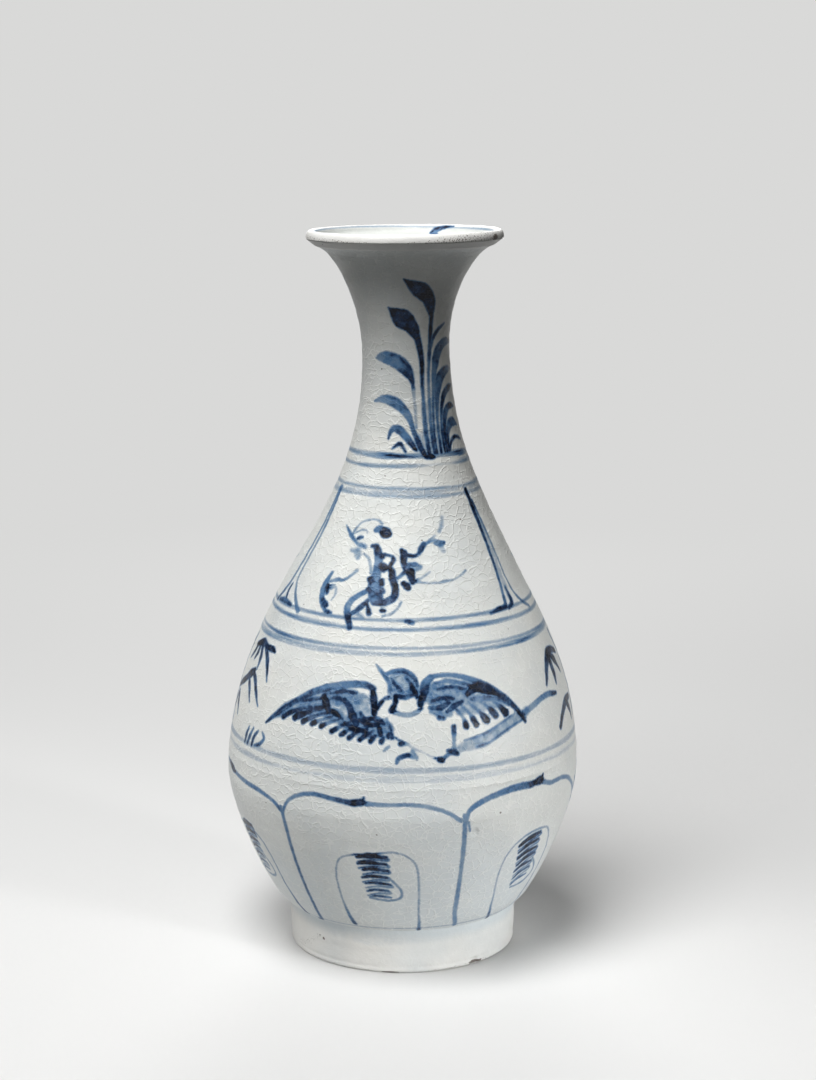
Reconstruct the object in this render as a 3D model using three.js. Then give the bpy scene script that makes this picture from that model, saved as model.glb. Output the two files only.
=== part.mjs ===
// Pear-shaped stoneware bottle vase, modelled as the sections that the potter throws and lutes together.
// Millimetres, +Z up. The origin is the centre of the foot, on the surface that the vase stands on.
import * as THREE from "three";

// Foot ring
const footHeight = 17;
const footRadius = 42.6; // the outer side, at the bottom
const footFlare = 0.6; // the outer side is this much wider in radius at its top
const footEdgeRadius = 0.9; // the rounding of the outer bottom edge
const footWall = 5.6; // from the outer side to the bore, at the bottom
const footBoreTaper = 0.7; // the bore is this much narrower in radius at its top
const rootStep = 0.8; // how far the body steps out over the ring

// Outline of the body, from the foot up: radii
const bellyRadius = 66;
const neckRootRadius = 25.9;
const throatRadius = 16;
const mouthRadius = 33.2; // under the rolled lip
const lipOverhang = 2.85; // how far the rolled lip stands out over the mouth

// Outline of the body: rises from one of those places to the next
const bellyRise = 51;
const shoulderRise = 109;
const neckRise = 49;
const mouthRise = 38.8;
const lipRise = 5.2;

// Outline of the body: how far each place leans out from upright, in degrees
const rootLean = 64;
const neckRootLean = -22.5;
const mouthLean = 76;

// How long each stretch of the outline keeps its direction at its two ends, as shares of its rise
const bellyHold = { start: 0.16, end: 0.255 };
const shoulderHold = { start: 0.42, end: 0.33 };
const neckHold = { start: 0.26, end: 0.46 };
const mouthHold = { start: 0.44, end: 0.23 };

// Walls, floor and lip
const rootWall = 6; // the wall's thickness at the foot; it thins steadily towards the lip
const lipWall = 3.2; // the wall's thickness at the lip
const floorRise = 3; // from the foot ring's top face up to the floor
const plugDepth = 6; // how deep the floor's plug sits in the foot ring
const floorFillet = { out: 16, up: 8 }; // how far the floor's rounding reaches in, and up the wall
const lipRollRadius = 1.6;
const lipRollArc = { start: -60, end: 150 }; // degrees, from its straight underside round into the mouth

// Luting joints: each upper section sits on a flat shoulder, over a tongue on the section below
const bellySeamRise = 9; // from the widest place up to the seam between the two halves of the body
const seamShoulder = 2.2; // how deep the flat shoulder is, square to the outline
const tongueHeight = 3;
const slipGap = 0.3; // the room for slip round each tongue and round the floor's plug

// Fineness
const turnSegments = 60;
const stepsPerStretch = 8;
const filletSteps = 4;
const footEdgeSteps = 3;
const lipRollSteps = 7;
const leastStep = 0.3; // the shortest step along a curve, as a share of its usual one
const halvings = 40; // steps of the search for a height on a curve

// Heights above the standing face
const bellyHeight = footHeight + bellyRise;
const bellySeam = bellyHeight + bellySeamRise;
const neckSeam = bellyHeight + shoulderRise;
const throatHeight = neckSeam + neckRise;
const lipSeam = throatHeight + mouthRise;
const rimHeight = lipSeam + lipRise;
const floorTop = footHeight + floorRise;

const point = (radius, height) => new THREE.Vector2(radius, height);
const radians = THREE.MathUtils.degToRad;

// Points on an arc of a section, anticlockwise, between two angles in degrees from the outward direction
function arc(centre, radius, start, end, steps) {
  const curve = new THREE.EllipseCurve(centre.x, centre.y, radius, radius, radians(start), radians(end));
  return curve.getPoints(steps);
}

// One stretch of the outline: it leaves one place and reaches the next with the given leans
function stretch(from, fromLean, to, toLean, hold) {
  const rise = to.y - from.y;
  const leaving = point(Math.sin(radians(fromLean)), Math.cos(radians(fromLean)));
  const arriving = point(Math.sin(radians(toLean)), Math.cos(radians(toLean)));
  return new THREE.CubicBezierCurve(
    from,
    from.clone().addScaledVector(leaving, hold.start * rise),
    to.clone().addScaledVector(arriving, -hold.end * rise),
    to,
  );
}

const footTopRadius = footRadius + footFlare;
const root = point(footTopRadius + rootStep, footHeight);
const belly = point(bellyRadius, bellyHeight);
const neckRoot = point(neckRootRadius, neckSeam);
const throat = point(throatRadius, throatHeight);
const mouth = point(mouthRadius, lipSeam);

const outline = [
  stretch(root, rootLean, belly, 0, bellyHold),
  stretch(belly, 0, neckRoot, neckRootLean, shoulderHold),
  stretch(neckRoot, neckRootLean, throat, 0, neckHold),
  stretch(throat, 0, mouth, mouthLean, mouthHold),
];

// Surfaces of the wall, each given by its depth under the outline at a place along it
const outside = () => 0;
const inside = (place) => THREE.MathUtils.lerp(rootWall, lipWall, place / outline.length);
const tongueFace = () => seamShoulder;
const rebateFace = () => seamShoulder - slipGap;

// The point of a surface at a place: 0 is the foot, and each stretch of the outline adds 1
function pointOn(surface, place) {
  const index = Math.min(Math.floor(place), outline.length - 1);
  const spot = outline[index].getPoint(place - index);
  const along = outline[index].getTangent(place - index);
  const depth = surface(place);
  return point(spot.x - depth * along.y, spot.y + depth * along.x);
}

// The place where a surface crosses a height
function placeAt(surface, height) {
  let low = 0;
  let high = outline.length;
  for (let step = 0; step < halvings; step += 1) {
    const middle = (low + high) / 2;
    if (pointOn(surface, middle).y < height) low = middle;
    else high = middle;
  }
  return (low + high) / 2;
}

const pointAt = (surface, height) => point(pointOn(surface, placeAt(surface, height)).x, height);

// Points along a surface from one height to another, up or down
function run(surface, fromHeight, toHeight) {
  const ends = [placeAt(surface, fromHeight), placeAt(surface, toHeight)];
  const margin = leastStep / stepsPerStretch;
  const low = Math.min(...ends) + margin;
  const high = Math.max(...ends) - margin;
  const between = [];
  for (let step = 1; step < outline.length * stepsPerStretch; step += 1) {
    const place = step / stepsPerStretch;
    if (place > low && place < high) between.push(pointOn(surface, place));
  }
  if (fromHeight > toHeight) between.reverse();
  return [pointAt(surface, fromHeight), ...between, pointAt(surface, toHeight)];
}

// The top of a lower section, from the outside in: a flat shoulder and the tongue that rises from it
function tongueTop(seam) {
  return [pointAt(tongueFace, seam), pointAt(tongueFace, seam + tongueHeight)];
}

// The bottom of an upper section, from the inside out: the rebate that goes over the tongue
function rebateBottom(seam) {
  return [pointAt(rebateFace, seam + tongueHeight + slipGap), pointAt(rebateFace, seam)];
}

// A solid of revolution from its section, which runs anticlockwise with the radius to the right
function spin(section) {
  const geometry = new THREE.LatheGeometry(section, turnSegments);
  geometry.rotateX(Math.PI / 2);
  return geometry;
}

const spinRing = (section) => spin([...section, section[0].clone()]);

const footBoreRadius = footRadius - footWall;
const footBoreTopRadius = footBoreRadius - footBoreTaper;

function footRing() {
  const edgeCentre = point(footRadius - footEdgeRadius, footEdgeRadius);
  return spinRing([
    point(footBoreRadius, 0),
    ...arc(edgeCentre, footEdgeRadius, -90, 0, footEdgeSteps),
    point(footTopRadius, footHeight),
    point(footBoreTopRadius, footHeight),
  ]);
}

// The floor's plug drops into the foot ring, and the flat round it rests on the ring's top face
function lowerBody() {
  const plugRadius = footBoreTopRadius - slipGap;
  const plugBottom = footHeight - plugDepth;
  const wallFoot = pointAt(inside, floorTop + floorFillet.up);
  const corner = point(pointAt(inside, floorTop + floorFillet.up / 2).x, floorTop);
  const fillet = new THREE.QuadraticBezierCurve(wallFoot, corner, point(corner.x - floorFillet.out, floorTop));
  return spin([
    point(0, plugBottom),
    point(plugRadius, plugBottom),
    point(plugRadius, footHeight),
    ...run(outside, footHeight, bellySeam),
    ...tongueTop(bellySeam),
    ...run(inside, bellySeam + tongueHeight, wallFoot.y),
    ...fillet.getPoints(filletSteps).slice(1),
    point(0, floorTop),
  ]);
}

function upperBody() {
  return spinRing([
    ...rebateBottom(bellySeam),
    ...run(outside, bellySeam, neckSeam),
    ...tongueTop(neckSeam),
    ...run(inside, neckSeam + tongueHeight, bellySeam + tongueHeight + slipGap),
  ]);
}

// The neck's top is flat, and the lip's coil is luted on it face to face
function neck() {
  return spinRing([
    ...rebateBottom(neckSeam),
    ...run(outside, neckSeam, lipSeam),
    ...run(inside, lipSeam, neckSeam + tongueHeight + slipGap),
  ]);
}

function lipRing() {
  const rollCentre = point(mouthRadius + lipOverhang - lipRollRadius, rimHeight - lipRollRadius);
  return spinRing([
    mouth,
    ...arc(rollCentre, lipRollRadius, lipRollArc.start, lipRollArc.end, lipRollSteps),
    ...run(inside, pointOn(inside, outline.length).y, lipSeam),
  ]);
}

const vase = new THREE.Group();

function addPiece(name, geometry, finish) {
  const material = new THREE.MeshStandardMaterial({ ...finish, metalness: 0 });
  const mesh = new THREE.Mesh(geometry, material);
  mesh.name = name;
  vase.add(mesh);
}

const glaze = { color: 0xcfd2d1, roughness: 0.32 };
const dryGlaze = { color: 0xdcdad4, roughness: 0.55 };

addPiece("foot_ring", footRing(), dryGlaze);
addPiece("lower_body", lowerBody(), glaze);
addPiece("upper_body", upperBody(), glaze);
addPiece("neck", neck(), glaze);
addPiece("lip_ring", lipRing(), glaze);

export default vase;
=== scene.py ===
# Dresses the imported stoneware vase: its five turned sections, cobalt brushwork under a crackled glaze,
# a plain pale studio floor, soft light and the camera. The brushwork is laid out in degrees round the
# vase, 0 at the front and growing to the right, and in millimetres above the standing face.
import math
import random

import bpy
import numpy as np
from bpy.props import FloatProperty, FloatVectorProperty, IntProperty, PointerProperty
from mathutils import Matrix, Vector


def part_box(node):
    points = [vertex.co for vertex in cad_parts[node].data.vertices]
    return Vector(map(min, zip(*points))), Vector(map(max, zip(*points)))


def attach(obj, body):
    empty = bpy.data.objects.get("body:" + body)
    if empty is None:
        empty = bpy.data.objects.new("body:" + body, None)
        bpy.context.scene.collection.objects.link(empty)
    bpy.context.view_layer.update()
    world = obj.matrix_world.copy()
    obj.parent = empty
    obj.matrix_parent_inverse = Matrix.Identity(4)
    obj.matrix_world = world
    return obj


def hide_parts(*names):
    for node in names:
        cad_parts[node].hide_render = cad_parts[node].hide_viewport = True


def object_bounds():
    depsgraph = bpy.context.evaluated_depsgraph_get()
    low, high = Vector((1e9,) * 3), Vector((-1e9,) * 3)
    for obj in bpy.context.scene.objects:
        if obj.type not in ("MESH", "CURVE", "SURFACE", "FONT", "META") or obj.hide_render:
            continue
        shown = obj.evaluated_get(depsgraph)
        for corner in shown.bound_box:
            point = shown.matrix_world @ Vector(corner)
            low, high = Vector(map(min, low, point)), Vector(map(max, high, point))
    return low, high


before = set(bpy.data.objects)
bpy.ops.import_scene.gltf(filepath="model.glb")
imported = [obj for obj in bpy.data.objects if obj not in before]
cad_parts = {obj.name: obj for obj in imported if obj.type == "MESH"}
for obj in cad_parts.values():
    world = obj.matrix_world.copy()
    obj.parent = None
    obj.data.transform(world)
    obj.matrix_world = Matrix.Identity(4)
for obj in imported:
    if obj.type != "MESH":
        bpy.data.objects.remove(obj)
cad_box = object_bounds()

bl_info = {
    "name": "Stoneware bottle vase",
    "version": (1, 0, 0),
    "blender": (4, 5, 0),
    "location": "View3D > Sidebar > Vase",
    "description": "Dresses a bottle vase thrown in sections and painted in cobalt under a crackled glaze",
    "category": "Add Mesh",
}

MM = 0.001
UV_NAME = "OFBake"
LAYERS = ("line", "wash", "iron")
FAR = 3.0  # mm: how far from a brushmark its distance is still worked out
TABLE_STEP = 0.06  # mm between the points of a section's fine table
STROKE_STEPS = 6  # how many points a brushmark's curve has for each point given
SECTORS = 16  # a wall is turned in this many equal sectors, so its columns are a multiple of it
TRIANGLE_LIMIT = 194000  # for one piece
HALVED_FACE = 7.4  # triangles that halving a face adds, with the cuts into its neighbours
SHARP = 38  # degrees: an edge that turns more than this is shaded sharp
FADE = 1.5  # mm past the visible face within which the wall's unevenness fades out
BELLY_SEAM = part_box("lower_body")[1].z / MM - 3.0  # the tongue rises 3 mm over the seam
FOOT_ROW, FOOT_GROOVE = 0.9, 2.2  # mm: a row of faces on the foot, and the groove's height
MOUTH_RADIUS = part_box("lip_ring")[1].x / MM
LIP_ROLL = 1.6  # mm: the radius of the CAD lip's rolled edge
LIP_EDGE, FACE_WIDTH, FACE_RISE = 0.45, 1.6, 2.75  # mm: the radius of the lip's low edge, and its sloped face
# The glaze inside the mouth is greyer: painted shade of the hollow
RIM_WIDTH, INSIDE_FADE = 1.6, 0.8  # mm: from the top of the rim to the inside glaze, and how softly it starts
PIXELS_HIGH, LENS_PIXELS = 1080, 2260  # the photograph's height, and its lens in the same pixels


def linear(code):
    """The linear colour of an sRGB hex code."""
    parts = [int(code[k : k + 2], 16) / 255 for k in (0, 2, 4)]
    return [p / 12.92 if p <= 0.04045 else ((p + 0.055) / 1.055) ** 2.4 for p in parts]


def colour(name, description, code):
    """A colour that the panel shows."""
    return FloatVectorProperty(
        name=name, description=description, subtype="COLOR", size=3, min=0, max=1, default=linear(code)
    )


def length(name, description, millimetres):
    """A length that the panel shows."""
    return FloatProperty(
        name=name, description=description, default=millimetres * MM, min=0, precision=5, unit="LENGTH"
    )


def count(name, description, default, lowest):
    """A number of faces that the panel shows."""
    return IntProperty(name=name, description=description, default=default, min=lowest)


class VaseSizes(bpy.types.PropertyGroup):
    """Sizes of the marks of making, the glaze and the brushwork"""

    body_columns: count("Body columns", "Faces round each body section", 288, 96)
    inner_columns: count("Inner columns", "Faces round the unseen inside", 96, 48)
    neck_columns: count("Neck columns", "Faces round the neck and the lip", 208, 96)
    row: length("Row", "Height of a row of faces on the body", 1.4)
    neck_row: length("Neck row", "Height of a row of faces on the neck", 1.0)
    lip_row: length("Lip row", "Height of a row of faces on the lip", 0.42)
    inner_row: length("Inner row", "Height of a row of faces on the unseen inside", 3.0)
    slow_wobble: length("Slow wobble", "How far the thrown wall strays from round", 0.07)
    throwing_rings: length("Throwing rings", "Height of the rings left by the potter's fingers", 0.03)
    luting_ridge: length("Luting ridge", "How far the seam at the belly stands out", 0.2)
    crackle_cell: length("Crackle cell", "Distance between cracks in the glaze", 3.6)
    pinhole_cell: length("Pinhole cell", "Distance between pinholes in the glaze", 7.0)


class VaseColours(bpy.types.PropertyGroup):
    """Colours of the glaze, the cobalt and the studio"""

    glaze_warm: colour("Warm glaze", "Glaze where it lies thin", "e4e5e0")
    # Also painted shade inside the walls and at the top of the foot under the body
    glaze_cool: colour("Cool glaze", "Glaze where it lies thick", "d0d7d9")
    # Painted shade inside the mouth, and a little greyer lower down on the lip
    shaded_glaze_inside: colour("Inside glaze", "Glaze inside the mouth", "d4d6d2")
    lip_white: colour("Lip glaze", "Glaze of the rolled lip", "e9e8e4")
    foot_white: colour("Foot glaze", "Thin dry glaze of the foot", "e9e8e3")
    crackle: colour("Crackle", "Light caught by the cracks", "f2f3ef")
    # Also painted shade along the foot's bottom edge and in its chip
    iron: colour("Iron", "Specks and worn spots", "4a3a2e")
    cobalt_pale: colour("Pale cobalt", "Thin wash of cobalt", "b3bcc4")
    cobalt_grey: colour("Grey cobalt", "Cobalt of the lines round the vase", "8399ad")
    cobalt_blue: colour("Cobalt", "Cobalt of a full brush", "4f7399")
    cobalt_navy: colour("Deep cobalt", "Cobalt where two strokes meet", "1f3658")
    cobalt_black: colour("Heaped cobalt", "Cobalt where it was heaped", "070e1e")
    floor: colour("Floor", "Plain studio floor", "d9d9d8")


# Brushwork. Each mark is (tone, width in mm, points), and its layer where that isn't the layer of lines.
# Tone 1 is the darkest. A tone or width may change along the mark.
NECK_CLUMP = [
    ((0.95, 0.74, 0.66, 0.72, 0.9, 0.95, 0.97, 0.98), (1.7, 1.6, 1.4, 1.3, 1.4, 1.5, 1.8, 2.6),
     [(22.5, 188.6), (21, 195), (20.4, 202), (20.4, 209), (20, 214), (20.5, 220), (19.9, 225), (15, 232)]),
    (0.99, (2.0, 4.8, 6.6, 7.0, 5.0, 0.6), [(15, 231.4), (8, 235.4), (1, 237.6), (-7, 239.6), (-18, 242.6)]),
    ((0.85, 0.6, 0.55, 0.56, 0.66, 0.85, 0.93, 0.97), (1.5, 1.3, 1.2, 1.1, 1.1, 1.3, 1.6, 1.8),
     [(28, 190), (27.5, 197), (27.8, 205), (28.8, 214), (30, 220), (32, 225), (33.5, 231), (33.5, 241)]),
    (0.99, (1.8, 4.6, 6.0, 5.8, 4.0, 0.6), [(33, 240), (28, 245.2), (20, 248.4), (11, 250.6), (0, 253.4)]),
    ((0.8, 0.86, 0.8), (0.9, 1.8, 0.6), [(33.4, 227), (38, 231), (46, 234), (57, 236)]),
    (0.28, (0.7, 1.0, 1.2), [(10.5, 199), (10, 204), (9, 209), (8, 214)]),
    ((0.8, 0.88, 0.8, 0.7, 0.64, 0.6, 0.58, 0.5), (0.8, 2.4, 4.0, 5.4, 5.6, 4.6, 3.0, 0.5),
     [(8.4, 213.5), (5.4, 217), (0, 219.6), (-8, 222), (-16, 223.2), (-25, 223.9), (-34, 224), (-43, 223.6)]),
    (0.9, (0.6, 0.9, 0.6), [(4, 219.6), (-2, 222.2), (-9, 224.4), (-18, 225.2)]),
    ((0.95, 0.88, 0.84, 0.7, 0.62, 0.62, 0.68, 0.66, 0.6, 0.58, 0.5),
     (1.7, 2.1, 2.2, 1.9, 1.8, 2.2, 3.0, 4.0, 4.0, 2.8, 0.5),
     [(17, 189.4), (13.4, 192), (10.2, 195), (7, 197.6), (4.6, 200.4), (1.4, 203), (-5, 205.6), (-13, 207.6),
      (-22, 208.7), (-32, 208.9), (-43, 208)]),
    (0.84, (0.5, 0.8, 0.5), [(0, 205.2), (-6, 207.6), (-14, 209.2), (-24, 209.8)]),
    ((0.9, 0.95, 0.9, 0.78, 0.7, 0.66, 0.66, 0.8, 0.9), (1.0, 2.1, 2.4, 2.4, 2.6, 3.0, 2.5, 1.6, 0.6),
     [(9, 191), (6.6, 192.2), (3.4, 193.7), (0, 195.2), (-5, 197.2), (-10, 198.4), (-15, 198.6),
      (-18.6, 197.4), (-20.4, 195)]),
    ((0.75, 0.86, 0.92, 0.85), (0.8, 1.3, 1.6, 0.8),
     [(-15.2, 191.7), (-11, 192.8), (-7, 193.2), (-2, 190.6)]),
    ((0.92, 0.68, 0.6, 0.6, 0.66, 0.72, 0.78, 0.76, 0.7, 0.6),
     (1.2, 1.1, 1.1, 1.4, 2.0, 3.2, 4.0, 3.8, 3.0, 0.6),
     [(30.4, 189.8), (30.6, 197), (32.5, 205), (35.5, 212), (38, 218), (42, 223), (48, 226.6), (56, 228.6),
      (66, 229.1), (75, 228.4)]),
    ((0.92, 0.7, 0.66, 0.66, 0.7, 0.76, 0.8, 0.76, 0.7, 0.6),
     (1.2, 1.1, 1.3, 1.8, 2.4, 3.2, 3.8, 3.8, 3.0, 0.6),
     [(35.6, 190), (36, 195.5), (36.8, 200.5), (38.4, 205.5), (40.6, 210), (43.6, 213.8), (48.5, 216.5),
      (56, 218.2), (66, 219), (75, 219)]),
    ((0.93, 0.76, 0.72, 0.78, 0.85, 0.88, 0.9, 0.8), (1.1, 1.2, 1.4, 1.8, 2.1, 2.4, 2.4, 0.6),
     [(40.7, 190), (41, 195), (42.4, 200.4), (45.6, 205.4), (50.5, 209), (57, 211.2), (66, 212.4),
      (75, 213)]),
    ((0.93, 0.8, 0.78, 0.78, 0.8, 0.82, 0.7), (1.1, 1.3, 1.9, 2.7, 2.8, 2.3, 0.6),
     [(43.4, 190), (44.4, 195), (47, 200), (51.2, 203.6), (57, 205.4), (65, 205.8), (74, 205.2)]),
    ((0.95, 0.84, 0.78, 0.74, 0.7, 0.7), (1.1, 1.5, 2.4, 3.2, 3.3, 0.8),
     [(45.9, 190), (47.4, 194), (51, 197.4), (57, 199.6), (64.5, 199.8), (73, 198.4)]),
    ((0.92, 0.86, 0.86, 0.9, 0.92, 0.85), (1.0, 1.2, 1.3, 1.4, 1.5, 0.6),
     [(47, 190), (50, 192.1), (55, 193.8), (60.5, 194.5), (67, 194.2), (73, 193.2)]),
    (0.24, (7.5, 8.5, 7.5), [(18, 193.5), (29, 195), (42, 193.5)], "wash"),
    (0.18, (5.0, 6.5, 4.0), [(23, 202), (29, 205), (35, 208)], "wash"),
    (1.0, (1.0, 2.6, 1.2), [(17.5, 188.4), (22.5, 188.7), (26.5, 188.4)]),
]

ROCK_AND_BRANCH = [
    ((0.6, 0.66, 0.6), (0.5, 1.4, 1.0), [(-43, 164), (-37, 161.2), (-31, 158.7)]),
    (0.42, (0.9, 0.7, 0.6, 0.7),
     [(-36, 161.5), (-34, 164), (-30.5, 166), (-25, 166.9), (-20, 166.9), (-16.6, 165.8)]),
    (0.4, 0.6, [(-34.5, 162), (-30, 163.2), (-26.4, 163.1), (-25.6, 162.2)]),
    (0.84, (0.8, 1.5, 1.0), [(-31.4, 160.2), (-30, 160.6), (-28.2, 160.8)]),
    (0.62, (1.4, 1.9, 1.4), [(-29.4, 158.3), (-27, 158.1), (-24.6, 157.7)], "wash"),
    (0.66, (1.2, 2.6, 2.0), [(-33, 156.3), (-29.4, 156.2), (-27.2, 155)], "wash"),
    (0.45, 1.6, [(-29, 154.6), (-27.2, 153.9)], "wash"),
    ((0.6, 0.66, 0.97, 1.0, 0.97), (1.6, 2.6, 3.2, 3.8, 2.6),
     [(-20.3, 163.5), (-18, 164), (-15.8, 163.6), (-13.6, 162.8), (-11.6, 162.4)]),
    ((0.86, 0.9, 0.8), (1.4, 2.2, 1.8), [(-20.3, 158.2), (-18, 158), (-16.6, 156.6)]),
    ((0.75, 0.62, 0.58, 0.62, 0.66, 0.7), (2.4, 3.2, 3.2, 3.6, 5.2, 5.6),
     [(-17, 157.2), (-15.2, 154.6), (-15, 150.5), (-15, 147.5), (-14.6, 144.4), (-13.2, 141.4)]),
    (0.92, (1.6, 2.0, 1.4), [(-17.6, 158.2), (-15.8, 155.4), (-13, 154.8)]),
    ((0.86, 0.78, 0.72), (1.8, 1.2, 0.9), [(-14, 155.4), (-11.4, 155.6), (-8, 155.2)]),
    (0.88, (1.0, 1.7, 1.5), [(-7.4, 155), (-6.8, 153.8), (-8.6, 151.8)]),
    (0.93, (2.2, 2.8, 2.0), [(-12.6, 152), (-11.6, 151.5), (-10.4, 151.2)]),
    (0.8, 1.3, [(-12.4, 150.6), (-11, 150.2)]),
    ((0.85, 0.94, 0.97, 0.95, 0.93, 0.9, 0.86, 0.8), (1.3, 2.2, 2.7, 2.8, 2.7, 2.6, 2.5, 2.0),
     [(-8.6, 151.6), (-6.9, 150), (-6.2, 147.8), (-5, 145.8), (-4.3, 143.6), (-5.2, 141.4), (-9, 140),
      (-14, 139.8)]),
    (0.9, 2.2, [(-17.8, 147.3), (-16.2, 146.2)]),
    (0.93, 1.8, [(-11.7, 147), (-11, 145.6)]),
    (0.9, 1.7, [(-11, 144.2), (-9.8, 143.4)]),
    (0.88, (2.0, 2.6, 2.0), [(-17.6, 144), (-14.4, 142.6), (-12, 141.6)]),
    (0.36, (0.7, 1.0, 0.8), [(-24.5, 155.5), (-21, 154), (-19, 151.6), (-18, 149.5)]),
    ((0.7, 0.6, 0.6, 0.62, 0.72, 0.85, 0.9), (1.8, 2.0, 2.2, 2.3, 2.3, 2.4, 2.2),
     [(-18.4, 143.4), (-21.4, 142), (-24.2, 140.4), (-25.9, 138), (-25.4, 135.6), (-24, 133.2),
      (-23, 131.2)]),
    ((0.9, 0.84, 0.78), (1.6, 2.0, 1.7), [(-16.8, 140.4), (-18.6, 138.9), (-21, 137.1), (-24, 135.4)]),
    (0.94, (1.1, 1.5, 2.2), [(-17, 139.6), (-16, 137.6), (-15.4, 136.2)]),
    (0.6, 1.6, [(-20.5, 135.8), (-18, 134.8)], "wash"),
    (0.4, (0.8, 0.9, 0.7), [(-1.2, 140.2), (-3, 138), (-6, 136.2), (-9.5, 135.4)]),
    (0.88, 1.4, [(-10, 137.3), (-8.4, 137.3)]),
    ((0.93, 0.95, 0.9), (1.6, 2.5, 2.2, 2.0), [(-2.6, 157.2), (-1.2, 156), (-1, 153), (0.2, 150.8)]),
    ((0.93, 0.85, 0.85, 0.8), (1.6, 1.3, 1.3, 2.2, 1.8),
     [(-1, 155.8), (2, 155.4), (5, 155.3), (7.4, 156.2), (9, 158), (10.4, 159)]),
    ((0.6, 0.48), (1.2, 1.0, 1.2), [(10, 158.8), (14, 159.9), (18, 160.1), (20, 159.7)]),
    ((0.5, 0.62, 0.72), (1.4, 2.2, 1.6), [(17.6, 159.3), (20.6, 158.9), (22.8, 159.2)]),
    (0.4, 2.0, [(20.6, 157.8), (22.2, 156.4)], "wash"),
    (0.36, 0.8, [(14, 160.3), (18, 161.8)]),
    (0.4, (1.2, 1.8, 1.2), [(21, 163), (23.5, 165), (24.6, 167.6)], "wash"),
    ((0.8, 0.72, 0.5), (1.8, 1.6, 0.6), [(1.4, 152.3), (5, 152.5), (8.6, 151.8)]),
    ((0.93, 0.97, 0.97, 0.9), (2.0, 3.2, 3.0, 1.8), [(1.4, 151.2), (2.4, 150), (3.2, 148.4), (4, 146.7)]),
    (0.5, 1.9, [(5, 151.2), (8, 151.3)], "wash"),
    (0.66, (1.0, 1.4, 1.2), [(-5, 148), (-3, 148.3), (-0.5, 149.8), (1, 150.8)]),
    (0.97, (1.8, 2.6, 2.2), [(-0.5, 146.3), (0.8, 145.6), (1.8, 144.8)]),
    ((0.5, 0.36, 0.42, 0.32, 0.42), (0.9, 0.7, 1.0, 0.6, 0.8),
     [(4, 147), (10, 146.4), (17, 146.2), (20, 146.5), (25, 146.8), (30, 148), (33.5, 149.4)]),
    (0.34, 0.8, [(5, 147), (9, 148.2), (13, 149.9)]),
    (0.62, (1.2, 2.2, 2.5, 2.0, 1.7, 1.5, 0.8),
     [(-40.5, 148.2), (-41.6, 145.5), (-42, 142.5), (-41, 139.5), (-39, 137), (-36, 135.4), (-33.4, 135.2)]),
    (0.92, (1.2, 2.0, 1.4), [(-40, 144), (-39.6, 142.6), (-39, 141.3)]),
    (0.95, (1.6, 2.4, 1.6), [(-39.8, 138.9), (-38.4, 138), (-36.8, 137.3)]),
    (0.85, 1.4, [(-36, 135.5), (-34, 135.3)]),
    ((0.4, 0.6, 0.45, 0.4), (0.8, 1.5, 1.0, 0.9, 1.3),
     [(-39.5, 145.3), (-35.5, 146.2), (-32, 146.3), (-28.5, 148), (-26, 149.8)]),
    (0.36, 0.7, [(-40, 143.8), (-36, 144.3)]),
    (0.38, 0.9, [(-38, 143), (-35, 143.5), (-34, 141.5), (-35, 139.5)]),
    (0.75, (1.2, 2.0, 1.4), [(0.8, 134), (2.4, 133.8), (3.8, 133.4)]),
]

PANEL_DIVIDER = [
    ((0.97, 0.93, 0.85, 0.7, 0.66, 0.85), (1.6, 2.0, 1.8, 1.5, 1.3, 1.6),
     [(53.5, 176), (55, 168), (55.5, 160), (54.8, 148), (53.4, 140), (52, 135.4)]),
    ((0.7, 0.85, 0.9), (1.1, 1.6, 1.8), [(41, 134.2), (46, 134.9), (52, 135.4)]),
    ((0.5, 0.46, 0.45, 0.5, 0.55, 0.5), (0.8, 1.0, 0.9, 0.9, 1.2, 1.2),
     [(57, 172), (59.6, 163), (60.6, 152), (60.6, 145), (62.4, 139), (66.5, 135), (72, 132.4)]),
    ((0.6, 0.9, 0.85), (0.9, 1.9, 1.6), [(57, 141.5), (57.4, 138.6), (57.2, 136), (53.6, 134.6)]),
    (0.22, 3.0, [(56, 170), (57.6, 158), (57.2, 147), (57, 138)], "wash"),
]

# The same line between two panels on the vase's left
LEFT_DIVIDER = [
    ((0.6, 0.5, 0.5, 0.6, 0.7), (1.5, 1.4, 1.4, 1.5, 1.7),
     [(-68, 176), (-69, 160), (-70, 148), (-72, 140), (-78, 134)]),
    ((0.6, 0.46, 0.45, 0.5, 0.6), (1.4, 1.2, 1.2, 1.4, 1.7),
     [(-66, 176), (-65, 160), (-65.5, 145), (-62, 140), (-57, 136), (-53, 133.5)]),
    (0.8, (1.0, 1.8), [(-68, 141), (-68.4, 138), (-67, 135)]),
    (0.75, (1.5, 2.1, 1.2), [(-74, 134.6), (-67, 135.2), (-60, 134.6)]),
]

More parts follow.
